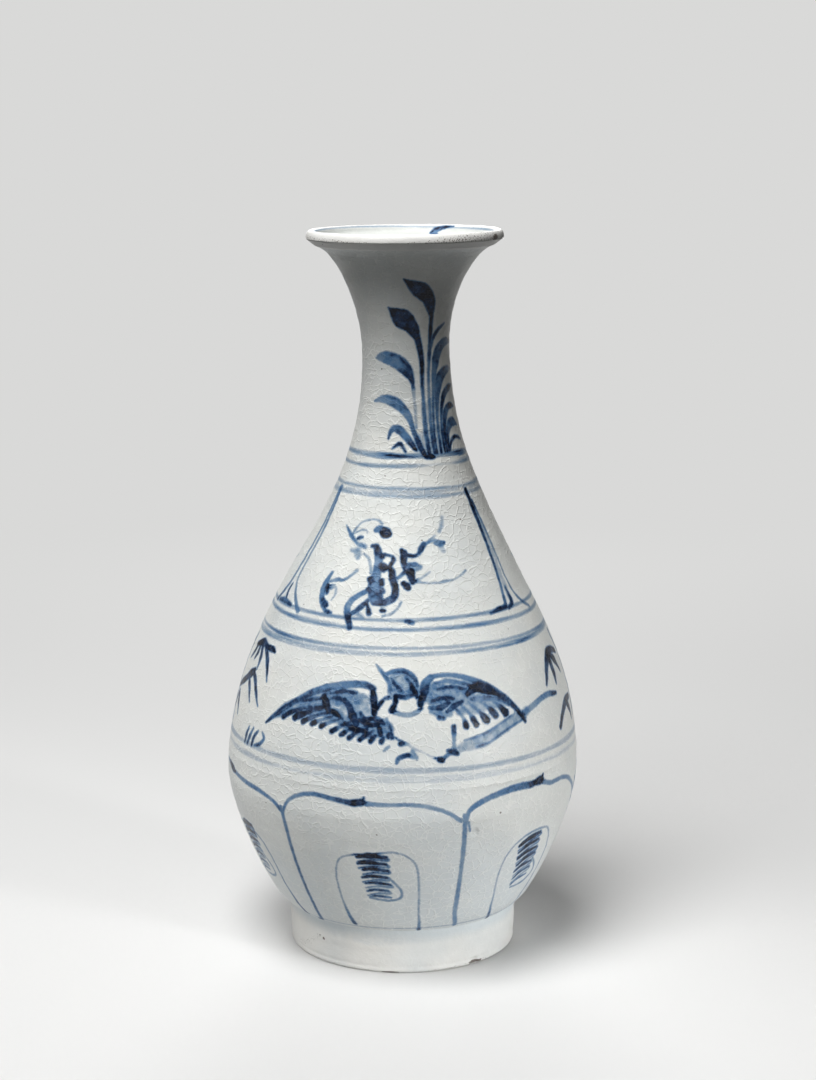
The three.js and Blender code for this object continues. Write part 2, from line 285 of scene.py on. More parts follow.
BIRD = [
    # left wing
    ((0.88, 0.74, 0.66, 0.66, 0.64, 0.6, 0.62, 0.7, 0.85), (0.6, 1.6, 2.0, 2.0, 2.2, 2.4, 2.4, 2.6, 2.2),
     [(-52, 94.4), (-49, 97.2), (-44, 101.2), (-39, 104.8), (-33, 108.4), (-26, 111.2), (-19, 112.7),
      (-13.5, 112.8), (-10.6, 111.8)]),
    ((0.8, 0.74, 0.7), 0.9, [(-47, 99.6), (-41, 104.2), (-35, 108.4), (-28, 111.8)]),
    ((0.9, 0.97, 0.98, 0.97), (1.8, 2.4, 2.6, 2.2),
     [(-10.9, 111.6), (-10.4, 109.4), (-10, 106.6), (-9.8, 103.6)]),
    (0.95, (1.6, 1.9, 1.2), [(-9.2, 105), (-8.2, 106.6), (-7, 108)]),
    ((0.97, 0.99, 0.97), (2.2, 2.9, 2.6, 1.8), [(-28.4, 107.8), (-27.4, 106), (-26.4, 104), (-25.6, 102.8)]),
    ((0.97, 0.97, 0.9), (1.8, 2.0, 1.1), [(-26, 103.6), (-23.4, 102.6), (-20.6, 100.9)]),
    ((0.7, 0.86, 0.8), (0.9, 1.5, 1.4), [(-33, 102.6), (-30.6, 103.4), (-28, 104)]),
    (0.62, (0.8, 1.6, 1.2), [(-37, 105), (-32, 106.4), (-28, 107.4)]),
    ((0.66, 0.76, 0.7), (1.0, 1.7, 1.2), [(-26, 109), (-21.6, 110.2), (-16.6, 110)]),
    (0.6, (1.0, 1.6, 1.0), [(-25.4, 107.6), (-22.6, 107.8), (-20, 106.8)]),
    ((0.75, 0.86, 0.88, 0.8), (1.6, 2.6, 3.2, 2.2),
     [(-20.6, 107.4), (-18.4, 105), (-17.2, 102.4), (-15.6, 100)]),
    (0.8, (1.4, 2.2, 1.4), [(-14.4, 103.4), (-13.2, 101.2), (-12.6, 99)]),
    (0.56, (2.0, 4.4, 5.6, 6.4, 7.0, 6.0),
     [(-48, 98), (-43.4, 101), (-38, 103.6), (-32, 106), (-26, 107.4), (-19.5, 108)], "wash"),
    (0.5, (3.0, 4.0, 5.0), [(-36, 101.6), (-29, 102.4), (-22, 101.8)], "wash"),
    (0.44, (4.0, 5.4, 4.6), [(-22, 109.6), (-17.5, 108.4), (-13.4, 107.6)], "wash"),
    (0.4, (3.0, 4.0, 3.2), [(-20, 105), (-16, 104.4), (-12.6, 104.4)], "wash"),
    (0.62, (2.4, 3.8, 3.2), [(-17.4, 110), (-16.8, 106.4), (-15.6, 102.4)], "wash"),
    ((0.9, 0.96, 0.9), (1.6, 2.4, 1.4), [(-19.4, 99.6), (-15.6, 97.8), (-12, 97.4)]),
    ((0.9, 0.95, 0.9), (1.4, 2.2, 1.4), [(-14.6, 101.2), (-11.4, 99.6), (-8.4, 99.8)]),
    (0.64, (5.0, 6.5, 7.6, 7.4, 5.0),
     [(-20.5, 100.4), (-15.5, 99), (-10.6, 98.8), (-7.6, 98.6), (-5.6, 98.4)], "wash"),
    (0.74, (1.4, 2.2, 1.4), [(-12.4, 101.6), (-9, 101.6), (-6.2, 100.2)]),
    (0.97, (1.6, 2.2, 1.4), [(-8, 98.6), (-7.6, 97.4), (-7.2, 96.2)]),
    ((1.0, 0.97, 0.55, 0.5), (2.1, 1.9, 1.4, 1.3),
     [(-43.9, 98.2), (-41, 100.4), (-36.5, 102.5), (-33, 103.4)]),
    ((0.98, 0.98, 0.8, 0.75), (2.4, 3.0, 1.7, 1.3),
     [(-38.8, 98.8), (-37.4, 99.9), (-33.4, 101.7), (-28.6, 103.8)]),
    ((1.0, 0.97, 0.6, 0.5, 0.5), (2.2, 2.0, 1.4, 1.1, 1.0),
     [(-35.1, 98.2), (-32.8, 99.6), (-29, 101.4), (-26, 102.4)]),
    ((1.0, 0.97, 0.56, 0.5, 0.5), (2.1, 1.9, 1.2, 1.0, 1.0), [(-31.5, 98), (-29, 99.4), (-24.6, 101.2)]),
    ((1.0, 0.97, 0.56, 0.5, 0.5), (2.1, 1.9, 1.2, 1.0, 1.0), [(-27.9, 97.6), (-25.4, 99.1), (-20.8, 101)]),
    ((1.0, 0.97, 0.6, 0.55, 0.55), (2.1, 1.9, 1.2, 1.0, 1.0), [(-23.9, 96.3), (-21.4, 98), (-17.8, 100.2)]),
    ((1.0, 0.97, 0.62, 0.6, 0.6), (1.9, 1.8, 1.2, 1.0, 1.0), [(-20.5, 95.6), (-18, 97.4), (-15, 99.4)]),
    ((1.0, 0.97, 0.62, 0.6, 0.6), (1.9, 1.8, 1.2, 1.0, 1.0), [(-17.6, 94.8), (-15.4, 96.6), (-12, 98.4)]),
    ((1.0, 0.97, 0.64, 0.62, 0.62), (2.0, 1.8, 1.2, 1.0, 1.0), [(-14.1, 94.4), (-12, 96.2), (-9.6, 97.8)]),
    ((1.0, 0.96, 0.7), (1.9, 1.8, 1.2), [(-10.4, 94.1), (-9.2, 95.8)]),
    ((1.0, 0.96, 0.74), (1.9, 1.8, 1.2), [(-7, 94.1), (-6.4, 95.6)]),
    (0.9, (2.0, 2.2, 1.4), [(-4.8, 95.8), (-4.2, 96.5), (-3.5, 95.4)]),
    (0.4, 0.9, [(-5.6, 102), (-4.4, 99), (-3.4, 96)]),
    # head, collar and neck
    ((0.5, 0.62, 0.68, 0.7), (0.5, 1.2, 1.6, 1.6),
     [(-10.3, 119.8), (-8.6, 118), (-6.6, 116), (-5.2, 113.8), (-4.6, 111.6)]),
    ((0.6, 0.62, 0.66, 0.7), (1.2, 1.8, 1.8, 1.4),
     [(-6.4, 116.6), (-3.6, 117.6), (-0.6, 117.9), (2, 117), (4, 115.2), (5, 112.8)]),
    (0.5, (4.0, 6.6, 6.6, 4.0), [(-3.2, 115), (-1, 114.8), (1.4, 114), (3.4, 112.6)], "wash"),
    (0.6, (3.0, 4.0, 3.4), [(-4.2, 111), (0, 110.8), (4.2, 110.8)], "wash"),
    ((0.7, 0.76, 0.7), (1.2, 1.8, 1.2), [(-3, 109.6), (0.4, 109.1), (3.6, 109.8)]),
    (0.6, (0.8, 1.4, 0.8), [(-4.6, 115.6), (-2.6, 113), (-0.6, 111.4)]),
    (0.62, (0.8, 1.4, 0.8), [(0.6, 115.6), (2.4, 113.8), (2.6, 111.6)]),
    (0.95, (1.4, 2.0, 1.2), [(3, 112.8), (3.9, 111), (4.6, 109)]),
    (0.98, (1.2, 1.9, 2.0, 1.8), [(-2.8, 109.8), (-2.7, 107.8), (-3.3, 106), (-4.2, 104.6)]),
    (0.98, (1.8, 2.4, 1.8), [(6, 109.2), (5.8, 107.6), (5.8, 106.2)]),
    (0.8, (1.0, 1.4, 0.9), [(-7, 108.3), (-5.6, 108.9), (-4.4, 108.9)]),
    (0.4, (1.4, 1.7, 1.7, 1.2), [(-3.6, 104.4), (-1.4, 103.5), (1.6, 103.2), (4.4, 104), (6, 105.4)]),
    # right wing
    ((0.9, 0.76, 0.7, 0.62), (2.4, 3.2, 3.2, 2.2), [(6.6, 108.6), (7.2, 111), (7.8, 113.6), (9.8, 115.4)]),
    ((0.62, 0.6, 0.6, 0.62, 0.66, 0.72, 0.75, 0.85, 0.95, 0.98),
     (1.6, 1.6, 1.7, 1.9, 2.2, 2.4, 2.4, 2.2, 2.2, 1.6),
     [(9, 115.4), (12, 115.9), (17, 115.9), (22, 114.8), (27, 112.8), (32, 110), (36, 106.8), (40, 103),
      (42.6, 99.8), (44.4, 96.6)]),
    (0.8, 0.9, [(33, 110.2), (37.6, 106.6), (41, 102.8), (43.6, 98.8)]),
    (0.56, (1.0, 1.7, 1.1), [(11, 113.5), (15, 114), (20, 113.2), (25, 111.6)]),
    (0.66, (1.0, 1.6, 1.0), [(12, 111.4), (17, 112), (22.5, 110.8)]),
    (0.62, (7.0, 8.0, 6.6, 5.0), [(9.6, 110), (13, 109.8), (17, 109.2), (21, 109)], "wash"),
    (0.5, (3.0, 3.6, 3.0), [(22, 112.4), (29, 110.4), (36, 105.8)], "wash"),
    ((0.66, 0.78, 0.72), (1.4, 2.4, 1.6), [(9, 105.5), (12.4, 105.3), (15.6, 106.6)]),
    ((0.75, 0.88, 0.8), (1.4, 2.2, 1.5), [(14.6, 103.8), (17, 105.2), (20.4, 106.8)]),
    (0.7, (1.0, 1.8, 1.0), [(9.4, 107.6), (13, 108.4), (17.4, 108)]),
    (0.72, 1.7, [(12, 101.9), (13.6, 101.6)]),
    (0.6, (2.0, 3.0, 2.0), [(9.6, 104.2), (12.6, 103), (15.6, 103)], "wash"),
    ((0.95, 0.99, 0.99, 0.99, 0.95, 0.85), (1.6, 3.0, 3.9, 3.4, 2.6, 1.4),
     [(22.6, 109), (24.6, 110.3), (27.2, 110.9), (29.8, 110), (32.4, 108.8), (35.4, 107.2)]),
    (0.46, (3.6, 4.8, 4.0), [(18.5, 107.4), (24, 107.2), (31, 106.4)], "wash"),
    (0.4, (3.0, 5.0, 5.4, 3.0), [(19, 103.6), (24, 104.6), (30, 105.2), (36, 104.6)], "wash"),
    (0.48, 1.6, [(24, 107.2), (30, 106.8), (35, 105.6), (38.6, 103.4)]),
    ((0.98, 0.6, 0.42, 0.34), (1.9, 1.5, 1.3, 1.4), [(16.6, 98.5), (16.5, 95.5), (16.4, 92.5), (16.6, 90)]),
    ((1.0, 0.96, 0.5, 0.42, 0.4), (2.1, 1.9, 1.1, 1.0, 1.0), [(21, 98.3), (20.2, 101.2), (18, 104.4)]),
    ((1.0, 0.97, 0.5, 0.42, 0.4), (2.4, 2.1, 1.1, 1.0, 1.0), [(24.6, 98.5), (22.8, 102.2), (20, 105.6)]),
    ((1.0, 0.98, 0.5, 0.42, 0.42), (2.7, 2.3, 1.2, 1.0, 1.0), [(28.6, 99.5), (26, 103), (22.4, 106.4)]),
    ((1.0, 0.98, 0.5, 0.44, 0.42), (2.9, 2.4, 1.2, 1.0, 1.0), [(32.2, 100.8), (29.6, 104), (25.8, 107)]),
    ((1.0, 0.98, 0.52, 0.44, 0.42), (3.1, 2.6, 1.2, 1.0, 1.0), [(36.4, 101), (33.6, 104.4), (29, 107.6)]),
    # tail, belly and legs
    ((0.34, 0.36, 0.5, 0.42, 0.36, 0.4), (2.4, 4.2, 5.0, 4.6, 3.8, 3.0),
     [(17.4, 90.6), (22, 92), (27, 93), (33, 95.4), (40, 98), (46, 99.9)], "wash"),
    ((0.4, 0.5, 0.58, 0.62, 0.9, 0.98), (2.0, 2.2, 2.2, 2.0, 1.8, 1.3),
     [(44, 99.4), (50, 101.1), (55, 102.4), (60, 102.8), (64, 102.2), (66.6, 101.8)]),
    (0.58, 0.8, [(24, 90.8), (29, 92), (34, 94.4), (39, 96.2), (45, 97.8)]),
    (0.5, 0.8, [(20, 93.6), (27, 95), (33, 97.4), (40, 100)]),
    (0.82, (1.4, 2.2, 1.4), [(14.4, 90.6), (16, 90), (17.6, 89.2)]),
    (0.92, (1.6, 2.1, 1.4), [(11.2, 87.9), (12, 87.4), (12.8, 87.4)]),
    (0.6, (1.0, 1.4, 1.0), [(12.6, 88), (14.4, 89.2), (16, 89.8)]),
    (0.22, (0.6, 0.8, 0.6),
     [(-3.4, 96), (-1, 94.6), (1.4, 93.4), (3.4, 91.8), (6, 90.6), (8.6, 89), (11, 87.9)]),
    (0.5, 1.2, [(3, 91), (4, 89.2), (4.6, 88)]),
    ((0.6, 0.75, 0.85, 0.8, 0.5), (1.1, 1.5, 1.9, 1.6, 1.0),
     [(-1.9, 86.8), (-1.4, 88.4), (0.4, 89.2), (1.8, 89.5), (3.4, 88.6)]),
    (0.85, 1.9, [(-0.9, 93.5), (0.3, 93.5)]),
    (0.48, 1.0, [(-6, 91), (-4.4, 92.6)]),
]

GRASS_TUFT = [
    ((0.9, 0.85, 0.7), (1.0, 1.7, 0.7), [(-63.4, 84.6), (-62.6, 88), (-61.6, 90.6)]),
    ((0.9, 0.85, 0.7), (1.2, 1.7, 0.7), [(-61.4, 84.6), (-60.4, 87), (-58.6, 91)]),
    ((0.85, 0.8, 0.66), (1.2, 1.7, 0.7), [(-58.4, 84.6), (-57.4, 88), (-55.4, 90.6)]),
    ((0.8, 0.75, 0.66), (1.0, 1.5, 0.8), [(-56.6, 85), (-53.6, 86.2), (-51.6, 88.6), (-53, 90.6)]),
]

BAMBOO_LEFT = [
    (0.97, (1.6, 3.4, 2.0, 2.2, 0.9),
     [(-77, 117.6), (-70, 119.4), (-65, 118.8), (-60, 118.8), (-57.6, 118.2)]),
    ((0.9, 0.82, 0.86, 0.9), (1.8, 2.4, 1.8, 0.6),
     [(-66, 118.6), (-62.6, 116), (-59.8, 112.6), (-57.2, 108)]),
    ((0.93, 0.8, 0.8), (1.8, 2.4, 0.6), [(-70, 118.6), (-67.6, 114.6), (-67.4, 110)]),
    (0.93, (1.6, 2.2, 0.6), [(-72, 118.4), (-72.4, 115), (-74, 112.4)]),
    (0.9, (1.6, 2.2, 0.6), [(-75, 118), (-77, 114.6), (-80, 111.6)]),
    (0.97, (2.4, 3.6, 3.2, 2.2, 0.8),
     [(-69, 109.2), (-72.4, 107.2), (-77, 104.2), (-83, 101.2), (-89, 98.4)]),
    ((0.95, 0.86, 0.84, 0.9), (1.8, 2.4, 1.8, 0.6), [(-70, 108.8), (-66.4, 107), (-62.6, 103), (-59, 98.6)]),
    ((0.9, 0.8, 0.86), (1.5, 2.2, 0.6), [(-72, 105.6), (-69, 103), (-66, 98.6)]),
    (0.9, (1.8, 2.4, 0.6), [(-81, 98.6), (-78, 95.4), (-75.4, 91.4)]),
    (0.88, (1.6, 2.2, 0.6), [(-82, 98.6), (-83, 95), (-85, 92)]),
    (0.7, (1.8, 2.1, 1.5), [(-96, 121), (-93, 112), (-94, 100), (-98, 90)]),
]

BAMBOO_RIGHT = [
    (0.97, (1.2, 2.7, 3.2, 3.0, 2.1), [(60.8, 106), (65, 111.8), (70, 115.6), (76, 115.6), (81, 114)]),
    (0.95, (2.5, 3.3, 0.9), [(69.5, 114), (69.6, 109.5), (69, 104.5)]),
    (0.95, (2.5, 3.4, 0.9), [(71, 115), (75, 111.8), (78, 107)]),
    (0.97, (2.4, 2.5, 3.0, 2.1), [(64.6, 89.8), (68, 93.6), (74, 96.8), (81, 97)]),
    (0.93, (2.4, 3.2, 0.9), [(74, 96.6), (77, 93.5), (78.5, 89)]),
    (0.7, (1.8, 2.1, 1.5), [(96, 120), (93, 110), (94, 99), (98, 88)]),
]

# The three lappets that the front shows, each with its own wander of the brush
LAPPET = [
    ((0.6, 0.6, 0.6, 0.7, 0.9), (1.3, 1.3, 1.4, 1.7, 2.2),
     [(-41, 64), (-38, 69.5), (-33, 72.5), (-28, 73.5), (-22, 72.7), (-16.4, 72)]),
    (0.98, (1.7, 2.3, 3.0, 1.6), [(-17.6, 71.8), (-15, 72), (-13, 72.3), (-11.8, 72.5)]),
    (0.98, (1.8, 0.7), [(-12.4, 72.4), (-11.9, 74.2)]),
    ((0.55, 0.48, 0.46, 0.5), (1.6, 1.4, 1.4, 1.4, 1.5, 1.6),
     [(-11, 72), (-5, 71.8), (2, 72), (8, 71), (14, 68.5), (18.5, 65)]),
    ((0.62, 0.66, 0.7, 0.72, 0.85), (1.4, 1.5, 1.4, 1.3, 1.4),
     [(-41.5, 66), (-40.5, 60), (-40, 45), (-39.5, 30), (-39.5, 22), (-41, 18), (-43.4, 17.4)]),
    ((0.85, 0.42, 0.36, 0.36, 0.4, 0.36, 0.36, 0.42, 0.9), (1.5, 0.65, 0.65, 0.65, 0.7, 0.7, 0.75, 0.8, 1.4),
     [(-21.4, 19.8), (-22.8, 26), (-23.7, 35), (-23.5, 43), (-21.5, 49), (-17, 51.5), (-10, 52.5), (-3, 53.5),
      (2, 51.5), (5, 47), (6, 38), (6.5, 28), (7.3, 21), (7.6, 17.6)]),
]
LAPPET_ON_RIGHT = [
    ((0.5, 0.6, 0.62, 0.6, 0.66, 0.85), (1.5, 1.5, 2.0, 2.4, 2.4, 2.4),
     [(20, 63), (21, 68), (25, 71), (31, 73), (38, 74), (45.4, 73.6)]),
    (0.98, (2.0, 2.5, 3.1, 1.6), [(44.6, 73.8), (47, 73.9), (49, 74.1), (50.4, 74.1)]),
    (0.98, (2.0, 0.8), [(49.8, 74.2), (50.6, 75.9)]),
    ((0.55, 0.5, 0.55), (1.6, 1.6, 1.5),
     [(50, 73.4), (55, 71.6), (62, 71.4), (68, 69.6), (73, 66), (78, 61)]),
    ((0.55, 0.5, 0.5, 0.5, 0.6), (1.3, 1.6, 1.7, 1.6, 1.6),
     [(19.5, 67), (20, 60), (20.5, 45), (21, 35), (22, 25), (24.6, 18.4)]),
    (0.6, 0.8, [(21, 64), (21.8, 60.5)]),
    ((0.9, 0.42, 0.36, 0.36, 0.4, 0.4, 0.45, 0.6), (1.5, 0.7, 0.7, 0.7, 0.8, 0.8, 0.8),
     [(44.4, 17.4), (41, 22), (38.5, 30), (37, 38), (37.5, 45), (40, 50), (45, 53.5), (52, 54.5), (58, 53),
      (62, 47), (63.5, 40), (62.5, 28), (60, 19)]),
    (0.6, 1.4, [(78, 64), (79, 50), (80, 35), (82, 20)]),
]
LAPPET_ON_LEFT = [
    ((0.66, 0.62, 0.62, 0.66), (1.6, 1.5, 1.5, 1.5),
     [(-72, 71.4), (-62, 70.4), (-52, 69.5), (-45, 67.5), (-41.4, 64.6)]),
    (0.99, (1.8, 2.8, 2.5, 1.2), [(-77, 72.6), (-74, 72), (-72, 71.6), (-70, 71.2)]),
    (0.62, 1.4, [(-100.4, 63), (-100, 50), (-100.4, 35), (-101, 20)]),
    (0.6, 1.5, [(-99, 60), (-96, 67), (-90, 71), (-83, 72.6), (-76, 72.4)]),
    ((0.9, 0.5, 0.45, 0.5), (1.5, 0.8, 0.8),
     [(-50.4, 18.4), (-51.6, 24), (-53, 31), (-54, 40), (-57, 47.4), (-63, 50.6), (-70, 50.4)]),
    (0.4, 1.0, [(-70, 50.4), (-78, 50), (-83, 46), (-85, 36), (-85, 20)]),
]

# The coils in the lappets: (angle, tilt in mm), then (tone, width in mm) of each row, and the last loop
COILS = [(0, 0), (59, 2.6), (119, 0.6), (180, 0), (239, 0.8), (-57.5, 1.6)]
COIL_ROWS = [(1.0, 2.6), (0.99, 2.0), (0.97, 1.9), (0.93, 1.8), (0.9, 1.6), (0.84, 1.4), (0.78, 1.2)]
COIL_LOOP = [(-4.6, 42.6), (-2, 39.6), (-0.2, 36.6), (-0.6, 33.8), (-4, 32.6), (-8, 32.7), (-12, 33.4)]

# Lines drawn on the turning wheel: (height at the front in mm, width in mm, tone, [(angle, darker by), ...])
WHEEL_LINES = [
    (18.7, 0.7, 0.36, []),
    (80.4, 1.7, 0.15, [(-60, 0.08)]),
    (84.4, 1.8, 0.27, [(20, 0.06), (-80, 0.08)]),
    (123.1, 1.3, 0.3, [(-70, 0.25), (34, 0.25), (56, 0.55), (180, 0.2)]),
    (124.75, 1.1, 0.36, [(-62, 0.45), (-46, 0.2), (74, 0.3), (-150, 0.2)]),
    (131.5, 1.2, 0.52, [(30, 0.1), (-62, 0.2), (-140, 0.1)]),
    (134.4, 1.1, 0.5, [(-24, 0.14), (54, 0.2), (100, 0.1)]),
    (174.9, 1.5, 0.34, [(-30, 0.08), (140, 0.06)]),
    (177.9, 1.1, 0.42, [(20, 0.06), (-120, 0.08)]),
    (185.5, 1.2, 0.38, [(-46, 0.25), (-10, 0.1), (22, -0.22), (42, -0.26), (66, 0.2), (150, 0.1)]),
    (188.8, 1.8, 0.46, [(-16, 0.5), (2, 0.46), (62, 0.52), (180, 0.35)]),
]
DARK_WIDTH = 12  # degrees: how far such a darker place reaches

# Brushmarks inside the mouth; their heights are distances from the top of the rim, in mm
MOUTH_MARKS = [
    ((0.97, 0.95, 0.85, 0.66, 0.56, 0.62, 0.85, 0.97), (0.5, 0.9, 1.4, 2.2, 3.2, 2.6, 1.6, 0.7),
     [(146.7, 1.4), (150.4, 1.6), (154.2, 2.0), (157.8, 2.9), (159.8, 4.4), (158.6, 5.8), (157, 6.8),
      (155, 7.7)]),
    (0.95, (0.5, 0.9, 0.5), [(152, 1.5), (157, 2.0), (160.6, 3.0), (162, 4.2)]),
    (0.9, (0.4, 0.9, 0.5), [(159.6, 5.8), (158, 6.9), (156, 7.8)]),
]
# The thin line round the inside of the rim
RIM_LINES = [(1.6, 0.3, 0.42, [(120, 0.2), (60, 0.1), (-100, 0.1)])]
RIM_SPOTS = [
    (1.0, (0.3, 0.9, 0.5), [(62.6, -3.9), (64, -3.3), (65.4, -2.7)], "iron"),
    (0.4, (1.0, 1.8, 2.4, 2.6), [(2, -3.6), (24, -3.1), (44, -2.6), (66, -2.4)], "iron"),
    (0.35, (1.2, 2.2, 1.6), [(20, -2.2), (44, -1.4), (70, -1.0)], "iron"),
    (0.37, (1.4, 1.6, 0.9), [(-78, -2.8), (-50, -3.3), (-20, -3.7)], "iron"),
    (0.32, (0.6, 0.9, 0.6), [(-24, -3.8), (-10, -3.9), (4, -3.8)], "iron"),
    (0.36, (1.4, 2.4, 1.4), [(104, -1.4), (130, -0.8), (150, -1.2)], "iron"),
    (0.34, (1.2, 2.0, 1.2), [(-150, -1.2), (-130, -0.6), (-110, -1.6)], "iron"),
]

# Stains and spots of the foot. The grey-blue at its top under the body is pooled glaze and painted shade; the dark
# bottom edge is iron stain and painted shade where it meets the floor.
FOOT_MARKS = [
    # Faint grey-blue bands round the top of the foot: pooled glaze and painted shade under the body
    ((0.0, 0.05, 0.08, 0.05, 0.0), (4.0, 5.6, 7.0, 5.6, 4.0),
     [(-62, 15), (-34, 14.6), (-12, 13.2), (12, 14.8), (40, 15)], "wash"),
    ((0.0, 0.07, 0.0), (4.0, 6.4, 4.0), [(96, 14.8), (140, 14), (190, 15)], "wash"),
    (1.0, 0.9, [(-43.2, 9.4), (-42.7, 9.2)], "iron"),
    # Along the bottom edge: brown iron of the worn edge, and painted shade where the foot meets the floor and in
    # the chip at 39 degrees
    (0.95, (0.4, 0.7, 0.4), [(37.2, 1.1), (39, 0.6), (42, 0.7)], "iron"),
    (0.95, (0.4, 0.8, 0.4), [(-10, 0.3), (-6, 0.4), (-2, 0.3)], "iron"),
    (0.34, (1.6, 2.6, 1.6), [(-66, 3), (-54, 6), (-46, 10)], "iron"),
    (0.34, (0.8, 1.2, 0.8), [(10, 0.6), (34, 0.8), (60, 0.7)], "iron"),
    (0.36, (0.8, 1.2, 0.8), [(-60, 0.8), (-35, 0.6), (-14, 0.7)], "iron"),
    (0.4, (0.8, 1.6, 1.0), [(110, 0.8), (150, 0.7), (190, 0.8), (230, 0.8)], "iron"),
]

BODY_SPECKS = [
    (0.8, 0.7, [(9, 160.5), (9.4, 160.4)], "iron"),
    (0.7, 0.6, [(-30, 96.5), (-29.7, 96.4)], "iron"),
    (0.75, 0.7, [(32, 66), (32.3, 65.8)], "iron"),
    (0.6, 0.6, [(-8, 60.5), (-7.7, 60.4)], "iron"),
    (0.7, 0.6, [(48, 128), (48.3, 127.9)], "iron"),
    (0.7, 0.6, [(-20, 182), (-19.4, 181.9)], "iron"),
]

# Dents: (angle, height in mm, radius in mm, depth in mm)
DENTS = [
    (23.4, 60.0, 1.5, 0.7),
    (39.0, 0.8, 1.7, 1.0),
    (-35.0, 11.2, 2.4, -0.25),
    (-96.0, 4.0, 1.6, 0.5),
    (160.0, 1.6, 1.8, 0.6),
]

# How far the axis strays to the right, in mm, at heights in mm
LEAN = [
    (0, 0), (68, 0), (98, 0.5), (140, 0.6), (160, 1.6), (178, 2.0), (205, 1.8), (220, 1.5), (240, 0.8),
    (250, 0.6), (270, 1.0),
]

# How far the mouth sagged in the kiln, and how far down its left side tips, in mm; and the heights that sag
SAG, TIP, SAGGING = 0.85, 0.27, (226, 264)


def moved(marks, turn=0.0, flip=False, jitter=0.0, seed=0):
    """A copy of some brushmarks further round the vase, mirrored or painted a little otherwise."""
    draw = random.Random(seed)
    copies = []
    for tone, width, points, *layer in marks:
        across, up = draw.uniform(-jitter, jitter), draw.uniform(-jitter, jitter) * 0.5
        placed = [((-a if flip else a) + turn + across, z + up) for a, z in points]
        change = draw.uniform(-0.06, 0.06) * (jitter > 0)
        copies.append((np.add(tone, change), width, placed, *layer))
    return copies


def away_from(centre, angle, half_turn=math.pi):
    """How far round the vase an angle is from a centre, up to half a turn either way."""
    return (angle - centre + half_turn) % (2 * half_turn) - half_turn


def ring_lines(surface, lines, angle, along):
    """For every vertex, the gap to the nearest line round the vase in mm, and the line's tone and half width.

    The gap changes sign at each line and keeps it from one line to the next, so that it blends over a face."""
    values, nearest = np.zeros((len(angle), 3)), np.full(len(angle), np.inf)
    for index, (height, width, tone, darker) in enumerate(lines):
        drift = 0.32 * np.sin(angle + 2.1 * index) + 0.12 * np.sin(3 * angle - 1.3 * index)
        gap = along - surface.reach(height + drift)
        for place, more in darker:
            tone = tone + more * np.exp(-((away_from(place, np.degrees(angle), 180) / DARK_WIDTH) ** 2))
        half = width / 2 * (1 + 0.16 * np.sin(4 * angle + index) + 0.1 * np.sin(9 * angle - 2 * index))
        signed = np.clip(gap if index % 2 else -gap, -FAR, FAR)
        closer = abs(gap) < nearest
        values[closer] = np.stack([signed, tone + 0 * signed, half], axis=1)[closer]
        nearest = np.minimum(nearest, abs(gap))
    return values


def coil(turn, tilt, seed):
    """The rows of short strokes in a lappet, one under another and joined as the brush went to and fro."""
    draw = random.Random(seed)
    marks = []
    for row, (tone, width) in enumerate(COIL_ROWS):
        left = turn - 14.8 + 0.45 * row + draw.uniform(-0.7, 0.5)
        right = turn - 5.2 + 0.12 * row + draw.uniform(-0.5, 0.5)
        low, high = (51.2 - 2.9 * row + side * tilt / 2 + draw.uniform(-0.3, 0.3) for side in (-1, 1))
        middle, centre = (left + right) / 2, (low + high) / 2
        points = [(left, low), (middle - 1, centre + 0.6), (right, high)]
        marks.append(((tone, tone + 0.02, tone - 0.06), (0.6 * width, width, 0.7 * width), points))
        if row < len(COIL_ROWS) - 1:
            links = [(right, high), (right + 0.8, high - 1.2), (middle, centre - 1.0), (left, low - 2)]
            marks.append((0.5 - 0.02 * row, (0.9, 0.7, 0.6), links))
    marks.append((0.5, (0.7, 1.0, 0.8), [(turn + a, z + tilt * a / 15) for a, z in COIL_LOOP]))
    return marks


def all_outside_marks():
    """Every brushmark of the outside, all round the vase."""
    marks = NECK_CLUMP + moved(NECK_CLUMP, turn=180, jitter=0.6, seed=3)
    for panel in range(3):
        turn, copied = 120 * panel, panel > 0
        marks += moved(ROCK_AND_BRANCH, turn, flip=panel == 1, jitter=0.5 * copied, seed=panel)
        divider = moved(PANEL_DIVIDER, turn, jitter=0.3 * copied, seed=10 + panel)
        marks += divider if panel < 2 else LEFT_DIVIDER
    marks += BIRD + moved(BIRD, turn=180, flip=True, jitter=0.4, seed=5)
    marks += GRASS_TUFT + moved(GRASS_TUFT, turn=180, flip=True, jitter=0.3, seed=6)
    for turn in (0, 180):
        marks += moved(BAMBOO_LEFT, turn, jitter=0.4 * (turn > 0), seed=7)
        marks += moved(BAMBOO_RIGHT, turn, jitter=0.4 * (turn > 0), seed=8)
    marks += LAPPET + LAPPET_ON_RIGHT + LAPPET_ON_LEFT
    for lappet in (2, 3, 4):
        marks += moved(LAPPET, 60 * lappet, jitter=0.4, seed=20 + lappet)
    for lappet, (turn, tilt) in enumerate(COILS):
        marks += coil(turn, tilt, seed=30 + lappet)
    return marks + BODY_SPECKS


def along_mark(values, share):
    """A tone or width at shares of a brushmark's length."""
    values = np.atleast_1d(values)
    return np.interp(share, np.linspace(0, 1, len(values)), values)


